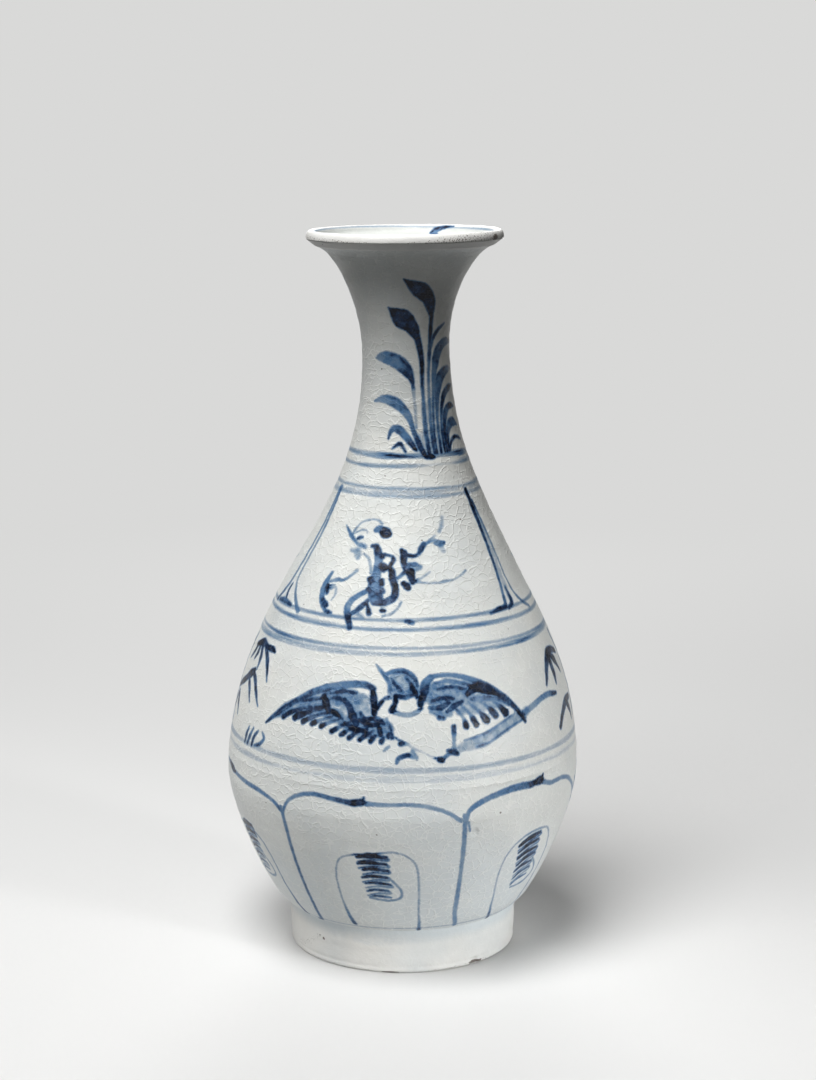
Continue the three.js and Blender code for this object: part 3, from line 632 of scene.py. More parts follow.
def smooth_stroke(points, widths, tones, seed):
    """A brushmark's points on a smooth curve, with its half widths and tones as the brush is pressed."""
    points = np.array(points, float)
    ends = np.vstack([2 * points[0] - points[1], points, 2 * points[-1] - points[-2]])
    curve = []
    for k in range(len(points) - 1):
        a, b, c, d = ends[k : k + 4]
        for step in range(STROKE_STEPS + (k == len(points) - 2)):
            t = step / STROKE_STEPS
            curve.append(
                0.5 * (2 * b + (c - a) * t + (2 * a - 5 * b + 4 * c - d) * t**2 + (3 * b - a - 3 * c + d) * t**3)
            )
    share = np.linspace(0, 1, len(curve))
    half = along_mark(widths, share) / 2
    if not isinstance(widths, tuple):
        half *= 1 - 0.28 * share**3
    draw = random.Random(seed)
    phase, pace = draw.uniform(0, 6.3), draw.uniform(7, 12)
    tone = along_mark(tones, share) * (1 + 0.07 * np.sin(share * pace * 1.3 + 2 * phase))
    return np.array(curve), half * (1 + 0.09 * np.sin(share * pace + phase)), tone


class Surface:
    """A section of the vase: a fine table of its outline, and where each brushmark falls on it."""

    def __init__(self, node, corner=35.0):
        self.node = node
        path, self.closed = section_path(node)
        pieces, self.breaks = [], [0.0]
        for run in runs_of(path, math.radians(corner)):
            points = spline_through(run)
            self.breaks.append(self.breaks[-1] + np.linalg.norm(np.diff(points, axis=0), axis=1).sum())
            pieces.append(points[1:] if pieces else points)
        self.radius, self.height = np.vstack(pieces).T
        self.measure()
        heights = np.interp(self.breaks, self.along, self.height)
        self.outer = max(zip(np.diff(heights), self.breaks, self.breaks[1:]))[1:]
        self.visible, self.inside = self.outer, self.outer[1]
        outside = (self.along >= self.outer[0]) & (self.along <= self.outer[1])
        self.outer_table = (self.height[outside], self.along[outside])

    def measure(self):
        """Works out how far along the section each point of the table is."""
        steps = np.diff(np.stack([self.radius, self.height], axis=1), axis=0)
        self.along = np.concatenate([[0], np.cumsum(np.linalg.norm(steps, axis=1))])
        self.total = self.along[-1]

    def place(self, along):
        """Radius and height at distances along the section."""
        return np.interp(along, self.along, self.radius), np.interp(along, self.along, self.height)

    def reach(self, height):
        """The distance along the section at a height of the outside, drawn on past its two ends."""
        heights, along = self.outer_table
        height = np.asarray(height, float)
        below = (along[8] - along[0]) / (heights[8] - heights[0])
        above = (along[-1] - along[-9]) / (heights[-1] - heights[-9])
        inner = np.interp(height, heights, along) + np.minimum(height - heights[0], 0) * below
        return inner + np.maximum(height - heights[-1], 0) * above


def flatten_lip(surface):
    """Gives the lip a face that slopes up and inwards from a low soft edge, as the finger left it."""
    lowest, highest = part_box("lip_ring")
    right, top = highest.x / MM, highest.z / MM
    low = (right - LIP_EDGE, top - FACE_RISE)
    tip = (low[0] + LIP_EDGE * math.cos(math.radians(60)), low[1] - LIP_EDGE * math.sin(math.radians(60)))
    radius, height = surface.radius.copy(), surface.height.copy()
    r, z = radius - (right - LIP_ROLL), height - (top - LIP_ROLL)
    on_roll = abs(np.hypot(r, z) - LIP_ROLL) < 0.02
    turn = np.arctan2(z, r)
    edge, face = on_roll & (turn < 0), on_roll & (turn >= 0) & (turn <= math.pi / 2)
    start = height[edge].min()
    under = (height < start) & (height > lowest.z / MM + 0.001)
    under &= surface.along < surface.along[on_roll].min()
    foot = np.argmax(under)
    share = ((height - height[foot]) / (start - height[foot]))[under]
    radius[under] = radius[foot] + share * (tip[0] - radius[foot])
    height[under] = height[foot] + share * (tip[1] - height[foot])
    radius[edge] = low[0] + LIP_EDGE * np.cos(turn[edge])
    height[edge] = low[1] + LIP_EDGE * np.sin(turn[edge])
    radius[face] = right - FACE_WIDTH + FACE_WIDTH * np.cos(turn[face])
    height[face] = low[1] + FACE_RISE * np.sin(turn[face])
    before = surface.along
    surface.radius, surface.height = radius, height
    surface.measure()
    surface.breaks = list(np.interp(surface.breaks, before, surface.along))


def section_path(node):
    """The CAD node's section at its front, as (radius, height) in mm anticlockwise; and if it closes."""
    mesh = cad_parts[node].data
    spots = {}
    for vertex in mesh.vertices:
        x, y, z = vertex.co / MM
        if abs(x) < 0.01 and y < 0.01:
            spots[vertex.index] = (round(abs(y), 2), round(z, 2))
    links = {}
    for edge in mesh.edges:
        a, b = (spots.get(index) for index in edge.vertices)
        if a and b and a != b:
            links.setdefault(a, set()).add(b)
            links.setdefault(b, set()).add(a)
    ends = [spot for spot in links if len(links[spot]) == 1]
    path = [min(ends or links, key=lambda spot: (spot[1], spot[0]))]
    while onward := [spot for spot in sorted(links[path[-1]]) if spot not in path]:
        path.append(onward[-1])
    path = np.array(path)
    if not ends:
        after = np.roll(path, -1, axis=0)
        if (path[:, 0] * after[:, 1] - path[:, 1] * after[:, 0]).sum() < 0:
            path = np.vstack([path[:1], path[:0:-1]])
        path = np.vstack([path, path[:1]])
    return path, not ends


def runs_of(path, corner):
    """Splits a section where it turns a corner, and where a short step meets a long straight one."""
    steps = np.diff(path, axis=0)
    sizes = np.linalg.norm(steps, axis=1)
    bearings = np.arctan2(steps[:, 1], steps[:, 0])
    cuts = [0]
    for k in range(1, len(path) - 1):
        ratio = max(sizes[k], sizes[k - 1]) / min(sizes[k], sizes[k - 1])
        if abs(away_from(bearings[k - 1], bearings[k])) > corner or ratio > 7:
            cuts.append(k)
    cuts.append(len(path) - 1)
    return [path[a : b + 1] for a, b in zip(cuts, cuts[1:])]


def spline_through(points):
    """Closely spaced points on a natural cubic spline through a run of points."""
    spans = np.linalg.norm(np.diff(points, axis=0), axis=1)
    knots = np.concatenate([[0], np.cumsum(spans)])
    count = len(points)
    system, right = np.eye(count), np.zeros((count, 2))
    for k in range(1, count - 1):
        system[k, k - 1 : k + 2] = spans[k - 1], 2 * (spans[k - 1] + spans[k]), spans[k]
        right[k] = 6 * ((points[k + 1] - points[k]) / spans[k] - (points[k] - points[k - 1]) / spans[k - 1])
    bend = np.linalg.solve(system, right)
    at = np.linspace(0, knots[-1], int(knots[-1] / TABLE_STEP) + 2)
    k = np.clip(np.searchsorted(knots, at, side="right") - 1, 0, count - 2)
    h, a, b = spans[k][:, None], (knots[k + 1] - at)[:, None], (at - knots[k])[:, None]
    curved = (bend[k] * a**3 + bend[k + 1] * b**3) / (6 * h)
    return curved + (points[k] / h - bend[k] * h / 6) * a + (points[k + 1] / h - bend[k + 1] * h / 6) * b


def stations(surface, start, end, spacing):
    """Distances along the section from start to end, with its corners and about one spacing apart."""
    marks = [start] + [b for b in surface.breaks if start + 1e-6 < b < end - 1e-6] + [end]
    rows = []
    for low, high in zip(marks, marks[1:]):
        rows += list(np.linspace(low, high, max(round((high - low) / spacing), 1) + 1)[:-1])
    return rows + [end]


def activate(*objects):
    """Selects these objects and nothing else; the first is the active one."""
    bpy.ops.object.select_all(action="DESELECT")
    for obj in objects:
        obj.select_set(True)
    bpy.context.view_layer.objects.active = objects[0]


def pick(mesh, kind, chosen):
    """Enters edit mode with only the chosen edges or faces selected."""
    bpy.ops.object.mode_set(mode="EDIT")
    bpy.ops.mesh.select_mode(type=kind)
    bpy.ops.mesh.select_all(action="DESELECT")
    bpy.ops.object.mode_set(mode="OBJECT")
    (mesh.edges if kind == "EDGE" else mesh.polygons).foreach_set("select", chosen)
    bpy.ops.object.mode_set(mode="EDIT")


def edit_all(operation, **settings):
    """Does one thing in edit mode to all of the active mesh."""
    bpy.ops.object.mode_set(mode="EDIT")
    bpy.ops.mesh.select_all(action="SELECT")
    operation(**settings)
    bpy.ops.object.mode_set(mode="OBJECT")


def put(mesh, across, forward, height):
    """Moves every vertex to a place in mm."""
    placed = np.stack([across, -forward, height], axis=1)
    mesh.vertices.foreach_set("co", (placed * MM).astype(np.float32).ravel())
    mesh.update()


def store(mesh, name, values):
    """Keeps one number or three for every vertex, under a name that the materials read."""
    kind, field = ("FLOAT", "value") if values.ndim == 1 else ("FLOAT_VECTOR", "vector")
    kept = mesh.attributes.get(name) or mesh.attributes.new(name, kind, "POINT")
    kept.data.foreach_set(field, values.astype(np.float32).ravel())


def read_along(mesh):
    """How far along the section every vertex is."""
    values = np.zeros(len(mesh.vertices), np.float32)
    mesh.attributes["along"].data.foreach_get("value", values)
    return values


def read_places(mesh):
    """Angle in radians from the front and distance along the section, for every vertex."""
    co = np.zeros(len(mesh.vertices) * 3, np.float32)
    mesh.vertices.foreach_get("co", co)
    x, y, _ = co.reshape(-1, 3).astype(float).T
    return np.arctan2(x, -y), read_along(mesh).astype(float)


def face_corners(mesh):
    """The vertex at every corner of the faces, and where each face's corners start."""
    corners, starts = np.zeros(len(mesh.loops), np.int32), np.zeros(len(mesh.polygons), np.int32)
    mesh.loops.foreach_get("vertex_index", corners)
    mesh.polygons.foreach_get("loop_start", starts)
    return corners, starts


def spin_chain(surface, start, end, spacing, columns):
    """Turns one stretch of the section round the axis, as on the wheel, and returns the wall."""
    rows = np.array(stations(surface, start, end, spacing))
    bpy.ops.object.select_all(action="DESELECT")
    bpy.ops.mesh.primitive_circle_add(vertices=len(rows), radius=1, fill_type="NOTHING")
    wall = bpy.context.object
    mesh = wall.data
    radius, height = surface.place(rows)
    put(mesh, np.zeros_like(radius), radius, height)
    store(mesh, "along", rows)
    pick(mesh, "EDGE", [set(edge.vertices) == {0, len(rows) - 1} for edge in mesh.edges])
    bpy.ops.mesh.delete(type="EDGE")
    sector = 2 * math.pi / SECTORS
    turning = {"steps": columns // SECTORS, "angle": sector, "center": (0, 0, 0), "axis": (0, 0, 1)}
    edit_all(bpy.ops.mesh.spin, use_auto_merge=False, **turning)
    repeat_round(wall, sector)
    edit_all(bpy.ops.mesh.remove_doubles, threshold=0.00001)
    along = read_along(mesh)
    if surface.closed:
        along[along > surface.total - 0.01] = 0
    store(mesh, "along", along)
    return wall


def repeat_round(wall, sector):
    """Copies a turned sector all the way round the axis."""
    turner = bpy.data.objects.new("turner", None)
    bpy.context.scene.collection.objects.link(turner)
    turner.rotation_euler = (0, 0, sector)
    modifier = wall.modifiers.new("round", "ARRAY")
    modifier.count = SECTORS
    modifier.use_relative_offset = False
    modifier.use_object_offset = True
    modifier.offset_object = turner
    activate(wall)
    bpy.ops.object.modifier_apply(modifier=modifier.name)
    bpy.data.objects.remove(turner)


def bridge(wall, *rings):
    """Closes the wall between two open rings, given by their distances along the section."""
    mesh = wall.data
    pairs = np.zeros(len(mesh.edges) * 2, np.int32)
    mesh.edges.foreach_get("vertices", pairs)
    ends = read_along(mesh)[pairs.reshape(-1, 2)]
    activate(wall)
    pick(mesh, "EDGE", np.any([(abs(ends - ring) < 1e-3).all(axis=1) for ring in rings], axis=0))
    bpy.ops.mesh.bridge_edge_loops()
    bpy.ops.object.mode_set(mode="OBJECT")


def turned_wall(surface, columns, spacing, inner):
    """A closed turned wall. With inner=(columns, spacing) the unseen inside has fewer faces."""
    if inner is None:
        wall = spin_chain(surface, 0, surface.total, spacing, columns)
    else:
        breaks, (low, high) = surface.breaks, surface.outer
        before, after = max(b for b in breaks if b < low - 1e-6), min(b for b in breaks if b > high + 1e-6)
        down, up = breaks[breaks.index(before) - 1], breaks[breaks.index(after) + 1]
        wall = spin_chain(surface, before, after, spacing, columns)
        hidden = [(up, surface.total)] if surface.closed else [(up, surface.total), (0, down)]
        activate(wall, *[spin_chain(surface, *stretch, inner[1], inner[0]) for stretch in hidden])
        bpy.ops.object.join()
        bridge(wall, after, up)
        bridge(wall, down, before)
    activate(wall)
    edit_all(bpy.ops.mesh.normals_make_consistent, inside=False)
    wall.name = wall.data.name = surface.node + "_glazed"
    return wall


def brush_fields(surface, marks, angle, along):
    """For each layer, how far every vertex is inside the nearest brushmark's edge in mm, and its tone; and
    how far it is from the nearest edge of all."""
    radius, _ = surface.place(along)
    size = len(angle)
    fields = {layer: [np.full(size, -FAR), np.zeros(size), np.zeros(size)] for layer in LAYERS}
    edge = np.full(len(angle), FAR)
    order = np.argsort(along)
    in_order = along[order]
    for seed, (tone, widths, points, *layer) in enumerate(marks):
        ends = surface.reach([point[1] for point in points])
        if ends.max() < in_order[0] - 2 * FAR or ends.min() > in_order[-1] + 2 * FAR:
            continue
        curve, half, tones = smooth_stroke(points, widths, tone, seed)
        turn, rise = np.radians(curve[:, 0]), surface.reach(curve[:, 1])
        reach = half.max() + FAR
        low, high = np.searchsorted(in_order, [rise.min() - reach, rise.max() + reach])
        near = order[low:high]
        centre = (turn.min() + turn.max()) / 2
        away, scale = away_from(centre, angle[near]), np.maximum(radius[near], 1.0)
        keep = abs(away) < (turn.max() - turn.min()) / 2 + reach / scale
        near, away, scale = near[keep], away[keep], scale[keep]
        if not len(near):
            continue
        x0, x1 = (turn[:-1] - centre), (turn[1:] - centre)
        best, best_tone = np.full(len(near), -FAR), np.full(len(near), tones[0])
        for k in range(len(x0)):
            ax, ay = x0[k] * scale - away * scale, rise[k] - along[near]
            bx, by = (x1[k] - x0[k]) * scale, rise[k + 1] - rise[k]
            t = np.clip(-(ax * bx + ay * by) / np.maximum(bx * bx + by * by, 1e-9), 0, 1)
            inner = half[k] + t * (half[k + 1] - half[k]) - np.hypot(ax + t * bx, ay + t * by)
            best_tone = np.where(inner > best, tones[k] + t * (tones[k + 1] - tones[k]), best_tone)
            best = np.maximum(best, inner)
        inside, total, weight = fields[layer[0] if layer else "line"]
        inside[near] = np.maximum(inside[near], best)
        edge[near] = np.minimum(edge[near], abs(best))
        pull = np.exp(5 * np.clip(best, -FAR, 0.5) + 9 * best_tone)
        total[near] += best_tone * pull
        weight[near] += pull
    painted = {
        layer: (inside, np.where(weight > 0, total / np.maximum(weight, 1e-12), 0))
        for layer, (inside, total, weight) in fields.items()
    }
    return painted, edge


def dent_gaps(surface, angle, along):
    """For each dent, how far every vertex is from its middle, its radius and its depth, in mm."""
    radius, _ = surface.place(along)
    for turn, z, size, depth in DENTS:
        gap = np.hypot(away_from(math.radians(turn), angle) * radius, along - surface.reach(z))
        yield gap, size, depth


def refine(wall, surface, marks, near):
    """Halves the faces that a brushmark's edge or a dent crosses, as far as the limit of triangles allows."""
    mesh = wall.data
    angle, along = read_places(mesh)
    _, closeness = brush_fields(surface, marks, angle, along)
    for gap, size, _ in dent_gaps(surface, angle, along):
        closeness = np.minimum(closeness, np.maximum(gap - size * 1.5, 0))
    corners, starts = face_corners(mesh)
    face_gap = np.minimum.reduceat(closeness[corners], starts)
    sides = np.diff(np.append(starts, len(corners)))
    room = int((TRIANGLE_LIMIT - (sides - 2).sum()) / HALVED_FACE)
    spread = np.maximum.reduceat(along[corners], starts) - np.minimum.reduceat(along[corners], starts)
    wanted = np.where((face_gap < near) & (sides == 4) & (spread < surface.total / 2))[0]
    if len(wanted) > room:
        wanted = wanted[np.argsort(face_gap[wanted], kind="stable")[: max(room, 0)]]
    activate(wall)
    pick(mesh, "FACE", np.isin(np.arange(len(starts)), wanted))
    bpy.ops.mesh.subdivide(number_cuts=1, ngon=False, quadcorner="INNERVERT")
    bpy.ops.object.mode_set(mode="OBJECT")
    angle, along = read_places(mesh)
    radius, height = surface.place(along)
    put(mesh, radius * np.sin(angle), radius * np.cos(angle), height)


def shape(mesh, surface, angle, along):
    """Gives the wall its hand-made unevenness, within the CAD box."""
    sizes = bpy.context.scene.vase_sizes
    radius, height = surface.place(along)
    slow, rings, ridge = sizes.slow_wobble / MM, sizes.throwing_rings / MM, sizes.luting_ridge / MM
    outward = slow * np.sin(2 * angle + 0.6 + height * 0.02)
    outward += slow * 0.6 * np.sin(3 * angle - height * 0.035 + 2)
    outward += rings * np.sin(height * 1.46 + 0.6 * np.sin(angle))
    outward += rings * np.sin(height * 0.885 + angle)
    outward += ridge * np.exp(-(((height - BELLY_SEAM) / 0.9) ** 2))
    outward -= ridge * 1.2 * np.exp(-(((height - FOOT_GROOVE) / 0.5) ** 2))
    for gap, size, depth in dent_gaps(surface, angle, along):
        outward -= depth * np.exp(-((gap / size) ** 4))
    start, end = surface.visible
    fade = np.clip((along - start) / FADE + 1, 0, 1) * np.clip((end - along) / FADE + 1, 0, 1)
    lean = np.interp(height, *zip(*LEAN))
    radius = np.minimum(radius + outward * fade, cad_box[1][0] / MM - lean)
    low, high = SAGGING
    share = np.clip((height - low) / (high - low), 0, 1)
    share = share * share * (3 - 2 * share)
    across = radius * np.sin(angle)
    put(mesh, across + lean, radius * np.cos(angle), height - share * (SAG - TIP * across / MOUTH_RADIUS))


def unwrap(mesh, surface, angle, along):
    """Lays the surface out flat: the angle across, and the section's length upwards, the visible part first."""
    corners, starts = face_corners(mesh)
    face = np.repeat(np.arange(len(starts)), np.diff(np.append(starts, len(corners))))
    across = angle[corners] / (2 * math.pi) + 0.5
    pole = surface.place(along)[0][corners] < 0.01
    widest = np.maximum.reduceat(np.where(pole, -1, across), starts)
    narrowest = np.minimum.reduceat(np.where(pole, 2, across), starts)
    wraps = (widest - narrowest > 0.5)[face]
    across = np.where(wraps & (across < 0.5) & ~pole, across + 1, across)
    sharing = np.maximum(np.bincount(face, weights=~pole), 1)
    average = np.bincount(face, weights=np.where(pole, 0, across)) / sharing
    across = np.where(pole, average[face], across)
    up = along[corners]
    wraps = (np.maximum.reduceat(up, starts) - np.minimum.reduceat(up, starts) > surface.total / 2)[face]
    up = np.where(wraps & (up < surface.total / 2), up + surface.total, up)
    start, end = surface.visible
    shown, below, top = 0.86, 0.87, 0.98  # where the visible part ends, the rest begins and the rest ends
    hidden = np.where(up > end, up - end, up + surface.total - end) / (surface.total - (end - start))
    inside = (up >= start) & (up <= end)
    spread = np.where(inside, (up - start) / (end - start) * shown, below + hidden * (top - shown))
    border = inside & (np.minimum.reduceat(inside.astype(int), starts)[face] == 0)
    spread = np.where(border & (up <= start + 1e-6), top + 0.01, spread)
    spread = np.where(border & (up >= end - 1e-6), below, spread)
    layer = mesh.uv_layers.new(name=UV_NAME)
    layer.data.foreach_set("uv", np.stack([across, spread], axis=1).astype(np.float32).ravel())


def paint(mesh, surface, marks, lines, angle, along):
    """Stores the brushwork on the mesh, one set of numbers for each layer of colour."""
    fields, _ = brush_fields(surface, marks, angle, along)
    for layer, (inside, tone) in fields.items():
        store(mesh, layer, np.stack([inside, tone, np.zeros_like(tone)], axis=1))
    # The further a vertex lies inside the wall, the greyer its glaze: painted shade of the hollow
    store(mesh, "inside", np.clip((along - surface.inside) / INSIDE_FADE, 0, 1))
    store(mesh, "ring", ring_lines(surface, lines, angle, along))


def make_piece(surface, columns, row, marks, lines, slot, levels, inner=None):
    """Turns a section's wall, refines, shapes, unwraps and paints it, and puts it in its CAD node's place."""
    wall = turned_wall(surface, columns, row, inner)
    mesh = wall.data
    for near in levels:
        refine(wall, surface, marks, near)
    angle, along = read_places(mesh)
    shape(mesh, surface, angle, along)
    unwrap(mesh, surface, angle, along)
    paint(mesh, surface, marks, lines, angle, along)
    mesh.attributes.remove(mesh.attributes["along"])
    activate(wall)
    bpy.ops.object.shade_smooth_by_angle(angle=math.radians(SHARP))
    mesh.materials.append(glaze_of(slot))
    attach(wall, "root")
    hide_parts(surface.node)


def add(tree, kind, inputs=None, **settings):
    """Adds a shader node with its settings; an input is a value, a socket or the node that feeds it."""
    new = tree.nodes.new("ShaderNode" + kind)
    for name, value in settings.items():
        setattr(new, name, value)
    for key, value in (inputs or {}).items():
        socket = new.inputs[key]
        if isinstance(value, bpy.types.Node):
            value = value.outputs[0]
        if isinstance(value, bpy.types.NodeSocket):
            tree.links.new(value, socket)
        else:
            socket.default_value = value
    return new


def span(value, low, high, to_low=0.0, to_high=1.0):
    """A value, the two limits that it runs between, and the two numbers that these become."""
    return {"Value": value, "From Min": low, "From Max": high, "To Min": to_low, "To Max": to_high}


EASED = {"interpolation_type": "SMOOTHSTEP"}  # such a node's setting where the change is to be soft


def new_material(name):
    """An empty material and its node tree."""
    material = bpy.data.materials.new(name)
    material.use_nodes = True
    material.node_tree.nodes.clear()
    return material, material.node_tree


def ink_cover(tree, layer, ragged, soft_in, soft_out):
    """How much of a point a layer of brushmarks covers, the tone there, and how far inside the edge it is."""
    numbers = add(tree, "Attribute", attribute_name=layer).outputs["Vector"]
    distance, tone, _ = add(tree, "SeparateXYZ", {0: numbers}).outputs
    edge = add(tree, "Math", {0: distance, 1: ragged}, operation="ADD")
    return add(tree, "MapRange", span(edge, -soft_out, soft_in), **EASED), tone, edge


# Noise in the glaze: (lumps in a metre, detail, roughness)
NOISE = {
    "fine": (1100.0, 2.0, 0.6),  # 0.9 mm: the ragged edge of a brushmark
    "broad": (330.0, 3.0, 0.6),  # 3 mm: where the cobalt heaped and where it ran thin
    "slow": (22.0, 3.0, 0.55),  # 45 mm: drifts of thicker glaze
    "clouds": (75.0, 5.0, 0.65),  # 13 mm: faint clouds in the white
    "warp": (190.0, 3.0, 0.6),  # 5 mm: how the cracks bend
    "grain": (2300.0, 1.0, 0.5),  # 0.4 mm: the broken edge of an iron speck
    "skin": (420.0, 2.0, 0.5),  # 2.4 mm: the gloss's slight waves
}

# Density of the cobalt and the colour it fires to
COBALT = [
    (0.0, "glaze_cool"), (0.18, "cobalt_pale"), (0.42, "cobalt_grey"), (0.68, "cobalt_blue"),
    (0.86, "cobalt_navy"), (1.0, "cobalt_black"),
]

# By slot: the material's name, its colour where thin and its darker colour (thicker glaze, and painted shade
# inside), its roughness, how much its cracks show, and the heights in m from which it turns darker and where it is
# darkest, how much so, and how much in drifts
GLAZES = {
    # Stoneware glaze, dipped thin and fired dry: a chalky white with hardly a crack, grey-blue at the top of the
    # foot under the body, which is pooled glaze and painted shade
    "foot_glaze": ("dry_glaze_on_foot", "foot_white", "glaze_cool", 0.46, 0.06, (0.011, 0.018, 0.9, 0.5)),
    # Stoneware glaze, dipped and fired to a satin gloss: a soft bluish white under a net of fine pale cracks
    "body_glaze": (
        "crackled_glaze_over_cobalt", "glaze_warm", "glaze_cool", 0.3, 0.36, (0.13, 0.0, 0.55, 0.5),
    ),
    # The same glaze, thin and rubbed by use over the rolled rim: a warm white, greyer inside the mouth, which is
    # painted shade
    "lip_glaze": ("worn_glaze_on_lip", "lip_white", "shaded_glaze_inside", 0.36, 0.05, (0.27, 0.26, 0.15, 0.15)),
}


def glaze_of(slot):
    """A slot's glaze, made once: the eye sees a white, fine cracks, pinholes, and blue that bled a little."""
    sizes, colours = bpy.context.scene.vase_sizes, bpy.context.scene.vase_colours
    name, thin, thick_and_shaded, roughness, cracks_show, (low, high, low_share, drift_share) = GLAZES[slot]
    if name in bpy.data.materials:
        return bpy.data.materials[name]
    material, tree = new_material(name)
    place = add(tree, "TexCoord").outputs["Object"]
    noise = {
        kind: add(tree, "TexNoise", {"Vector": place, "Scale": scale, "Detail": detail, "Roughness": rough})
        for kind, (scale, detail, rough) in NOISE.items()
    }
    fine, broad, slow = noise["fine"], noise["broad"], noise["slow"]

    # Cobalt: a layer of lines over a layer of washes, and a halo where the lines bled
    fine_edge = add(tree, "MapRange", span(fine, 0.0, 1.0, -0.2, 0.2))
    broad_edge = add(tree, "MapRange", span(broad, 0.0, 1.0, -0.22, 0.22))
    rough_edge = add(tree, "Math", {0: broad_edge, 1: 0.7, 2: fine_edge}, operation="MULTIPLY_ADD")
    line, line_tone, line_edge = ink_cover(tree, "line", rough_edge, 0.42, 0.45)
    wash, wash_tone, _ = ink_cover(tree, "wash", broad_edge, 0.9, 0.8)
    halo, halo_tone, _ = ink_cover(tree, "line", rough_edge, 0.2, 1.1)
    heaping = add(tree, "MapRange", span(broad, 0.3, 0.7, 0.86, 1.18))
    flecks = add(tree, "MapRange", span(fine, 0.25, 0.75, 0.9, 1.06))
    hollow = add(tree, "MapRange", span(line_edge, 0.6, 1.9, 1.0, 0.95), **EASED)
    thinning = add(tree, "MapRange", span(broad, 0.3, 0.66, 0.52, 1.24))

    # Lines round the vase, streaked along their length
    numbers = add(tree, "Attribute", attribute_name="ring").outputs["Vector"]
    distance, ring_tone, half_width = add(tree, "SeparateXYZ", {0: numbers}).outputs
    away = add(tree, "Math", {0: distance}, operation="ABSOLUTE")
    inner = add(tree, "Math", {0: half_width, 1: away}, operation="SUBTRACT")
    inner = add(tree, "Math", {0: inner, 1: fine_edge}, operation="ADD")
    ring = add(tree, "MapRange", span(inner, -0.75, 0.6), **EASED)
    long = add(tree, "VectorMath", {0: place, 1: (110.0, 110.0, 1300.0)}, operation="MULTIPLY")
    streak = add(tree, "TexNoise", {"Vector": long, "Scale": 1.0, "Detail": 3.0, "Roughness": 0.6})
    streak = add(tree, "MapRange", span(streak, 0.3, 0.7, 0.62, 1.22))

    # What each ink leaves clear, one over another
    clear = 1.0
    for ink, *factors in (
        (line, line_tone, heaping, flecks, hollow), (wash, wash_tone, thinning), (halo, halo_tone, 0.16),
        (ring, ring_tone, streak),
    ):
        for factor in factors:
            ink = add(tree, "Math", {0: ink, 1: factor}, operation="MULTIPLY")
        left = add(tree, "Math", {0: 1.0, 1: ink}, operation="SUBTRACT", use_clamp=True)
        clear = add(tree, "Math", {0: clear, 1: left}, operation="MULTIPLY")
    density = add(tree, "Math", {0: 1.0, 1: clear}, operation="SUBTRACT", use_clamp=True)
    cobalt = add(tree, "ValToRGB", {0: density})
    stops = cobalt.color_ramp.elements
    while len(stops) < len(COBALT):
        stops.new(0.5)
    for stop, (position, tint) in zip(stops, COBALT):
        stop.position, stop.color = position, (*getattr(colours, tint), 1)
    inked = add(tree, "MapRange", span(density, 0.0, 0.2), **EASED)

    # Glaze: another colour towards the bottom of the body, at the top of the foot, lower on the lip, in drifts of
    # thicker glaze and inside. Inside the mouth and the walls it is painted shade; at the top of the foot under
    # the body it is pooled glaze and painted shade.
    height = add(tree, "SeparateXYZ", {0: place}).outputs["Z"]
    wander = add(tree, "Math", {0: slow, 1: low * 0.08, 2: height}, operation="MULTIPLY_ADD")
    thickness_and_shade = add(tree, "MapRange", span(wander, low, high, 0.0, low_share), **EASED)
    drifts = add(tree, "MapRange", span(slow, 0.35, 0.7, 0.0, drift_share), **EASED)
    for more in (drifts, add(tree, "Attribute", attribute_name="inside").outputs["Fac"]):
        thickness_and_shade = add(tree, "Math", {0: thickness_and_shade, 1: more}, operation="ADD", use_clamp=True)
    clouds = add(tree, "MapRange", span(noise["clouds"], 0.3, 0.7, 0.93, 1.02))

    # Cracks: a net of bent cells, broken up so that many of them fade. They catch the light more than stain.
    # A real one is a hair wide; they are drawn 0.3 mm wide, so that they show.
    cell = sizes.crackle_cell
    bent = noise["warp"].outputs["Color"]
    bent = add(tree, "VectorMath", {0: bent, 1: (0.5, 0.5, 0.5)}, operation="SUBTRACT")
    bent = add(tree, "VectorMath", {0: bent, "Scale": cell * 1.1}, operation="SCALE")
    bent = add(tree, "VectorMath", {0: place, 1: bent}, operation="ADD")
    bent = add(tree, "VectorMath", {0: bent, 1: (1.0, 1.0, 1.4)}, operation="MULTIPLY")
    cells = add(tree, "TexVoronoi", {"Vector": bent, "Scale": 1 / cell}, feature="DISTANCE_TO_EDGE")
    crack = add(tree, "MapRange", span(cells.outputs["Distance"], 0.012, 0.08, 1.0, 0.0), **EASED)
    here = add(tree, "MapRange", span(broad, 0.3, 0.5), **EASED)
    crack = add(tree, "Math", {0: crack, 1: here}, operation="MULTIPLY")
    bare = add(tree, "MapRange", span(density, 0.05, 0.5, cracks_show, cracks_show * 0.05), **EASED)
    pale = add(tree, "Math", {0: crack, 1: bare}, operation="MULTIPLY")

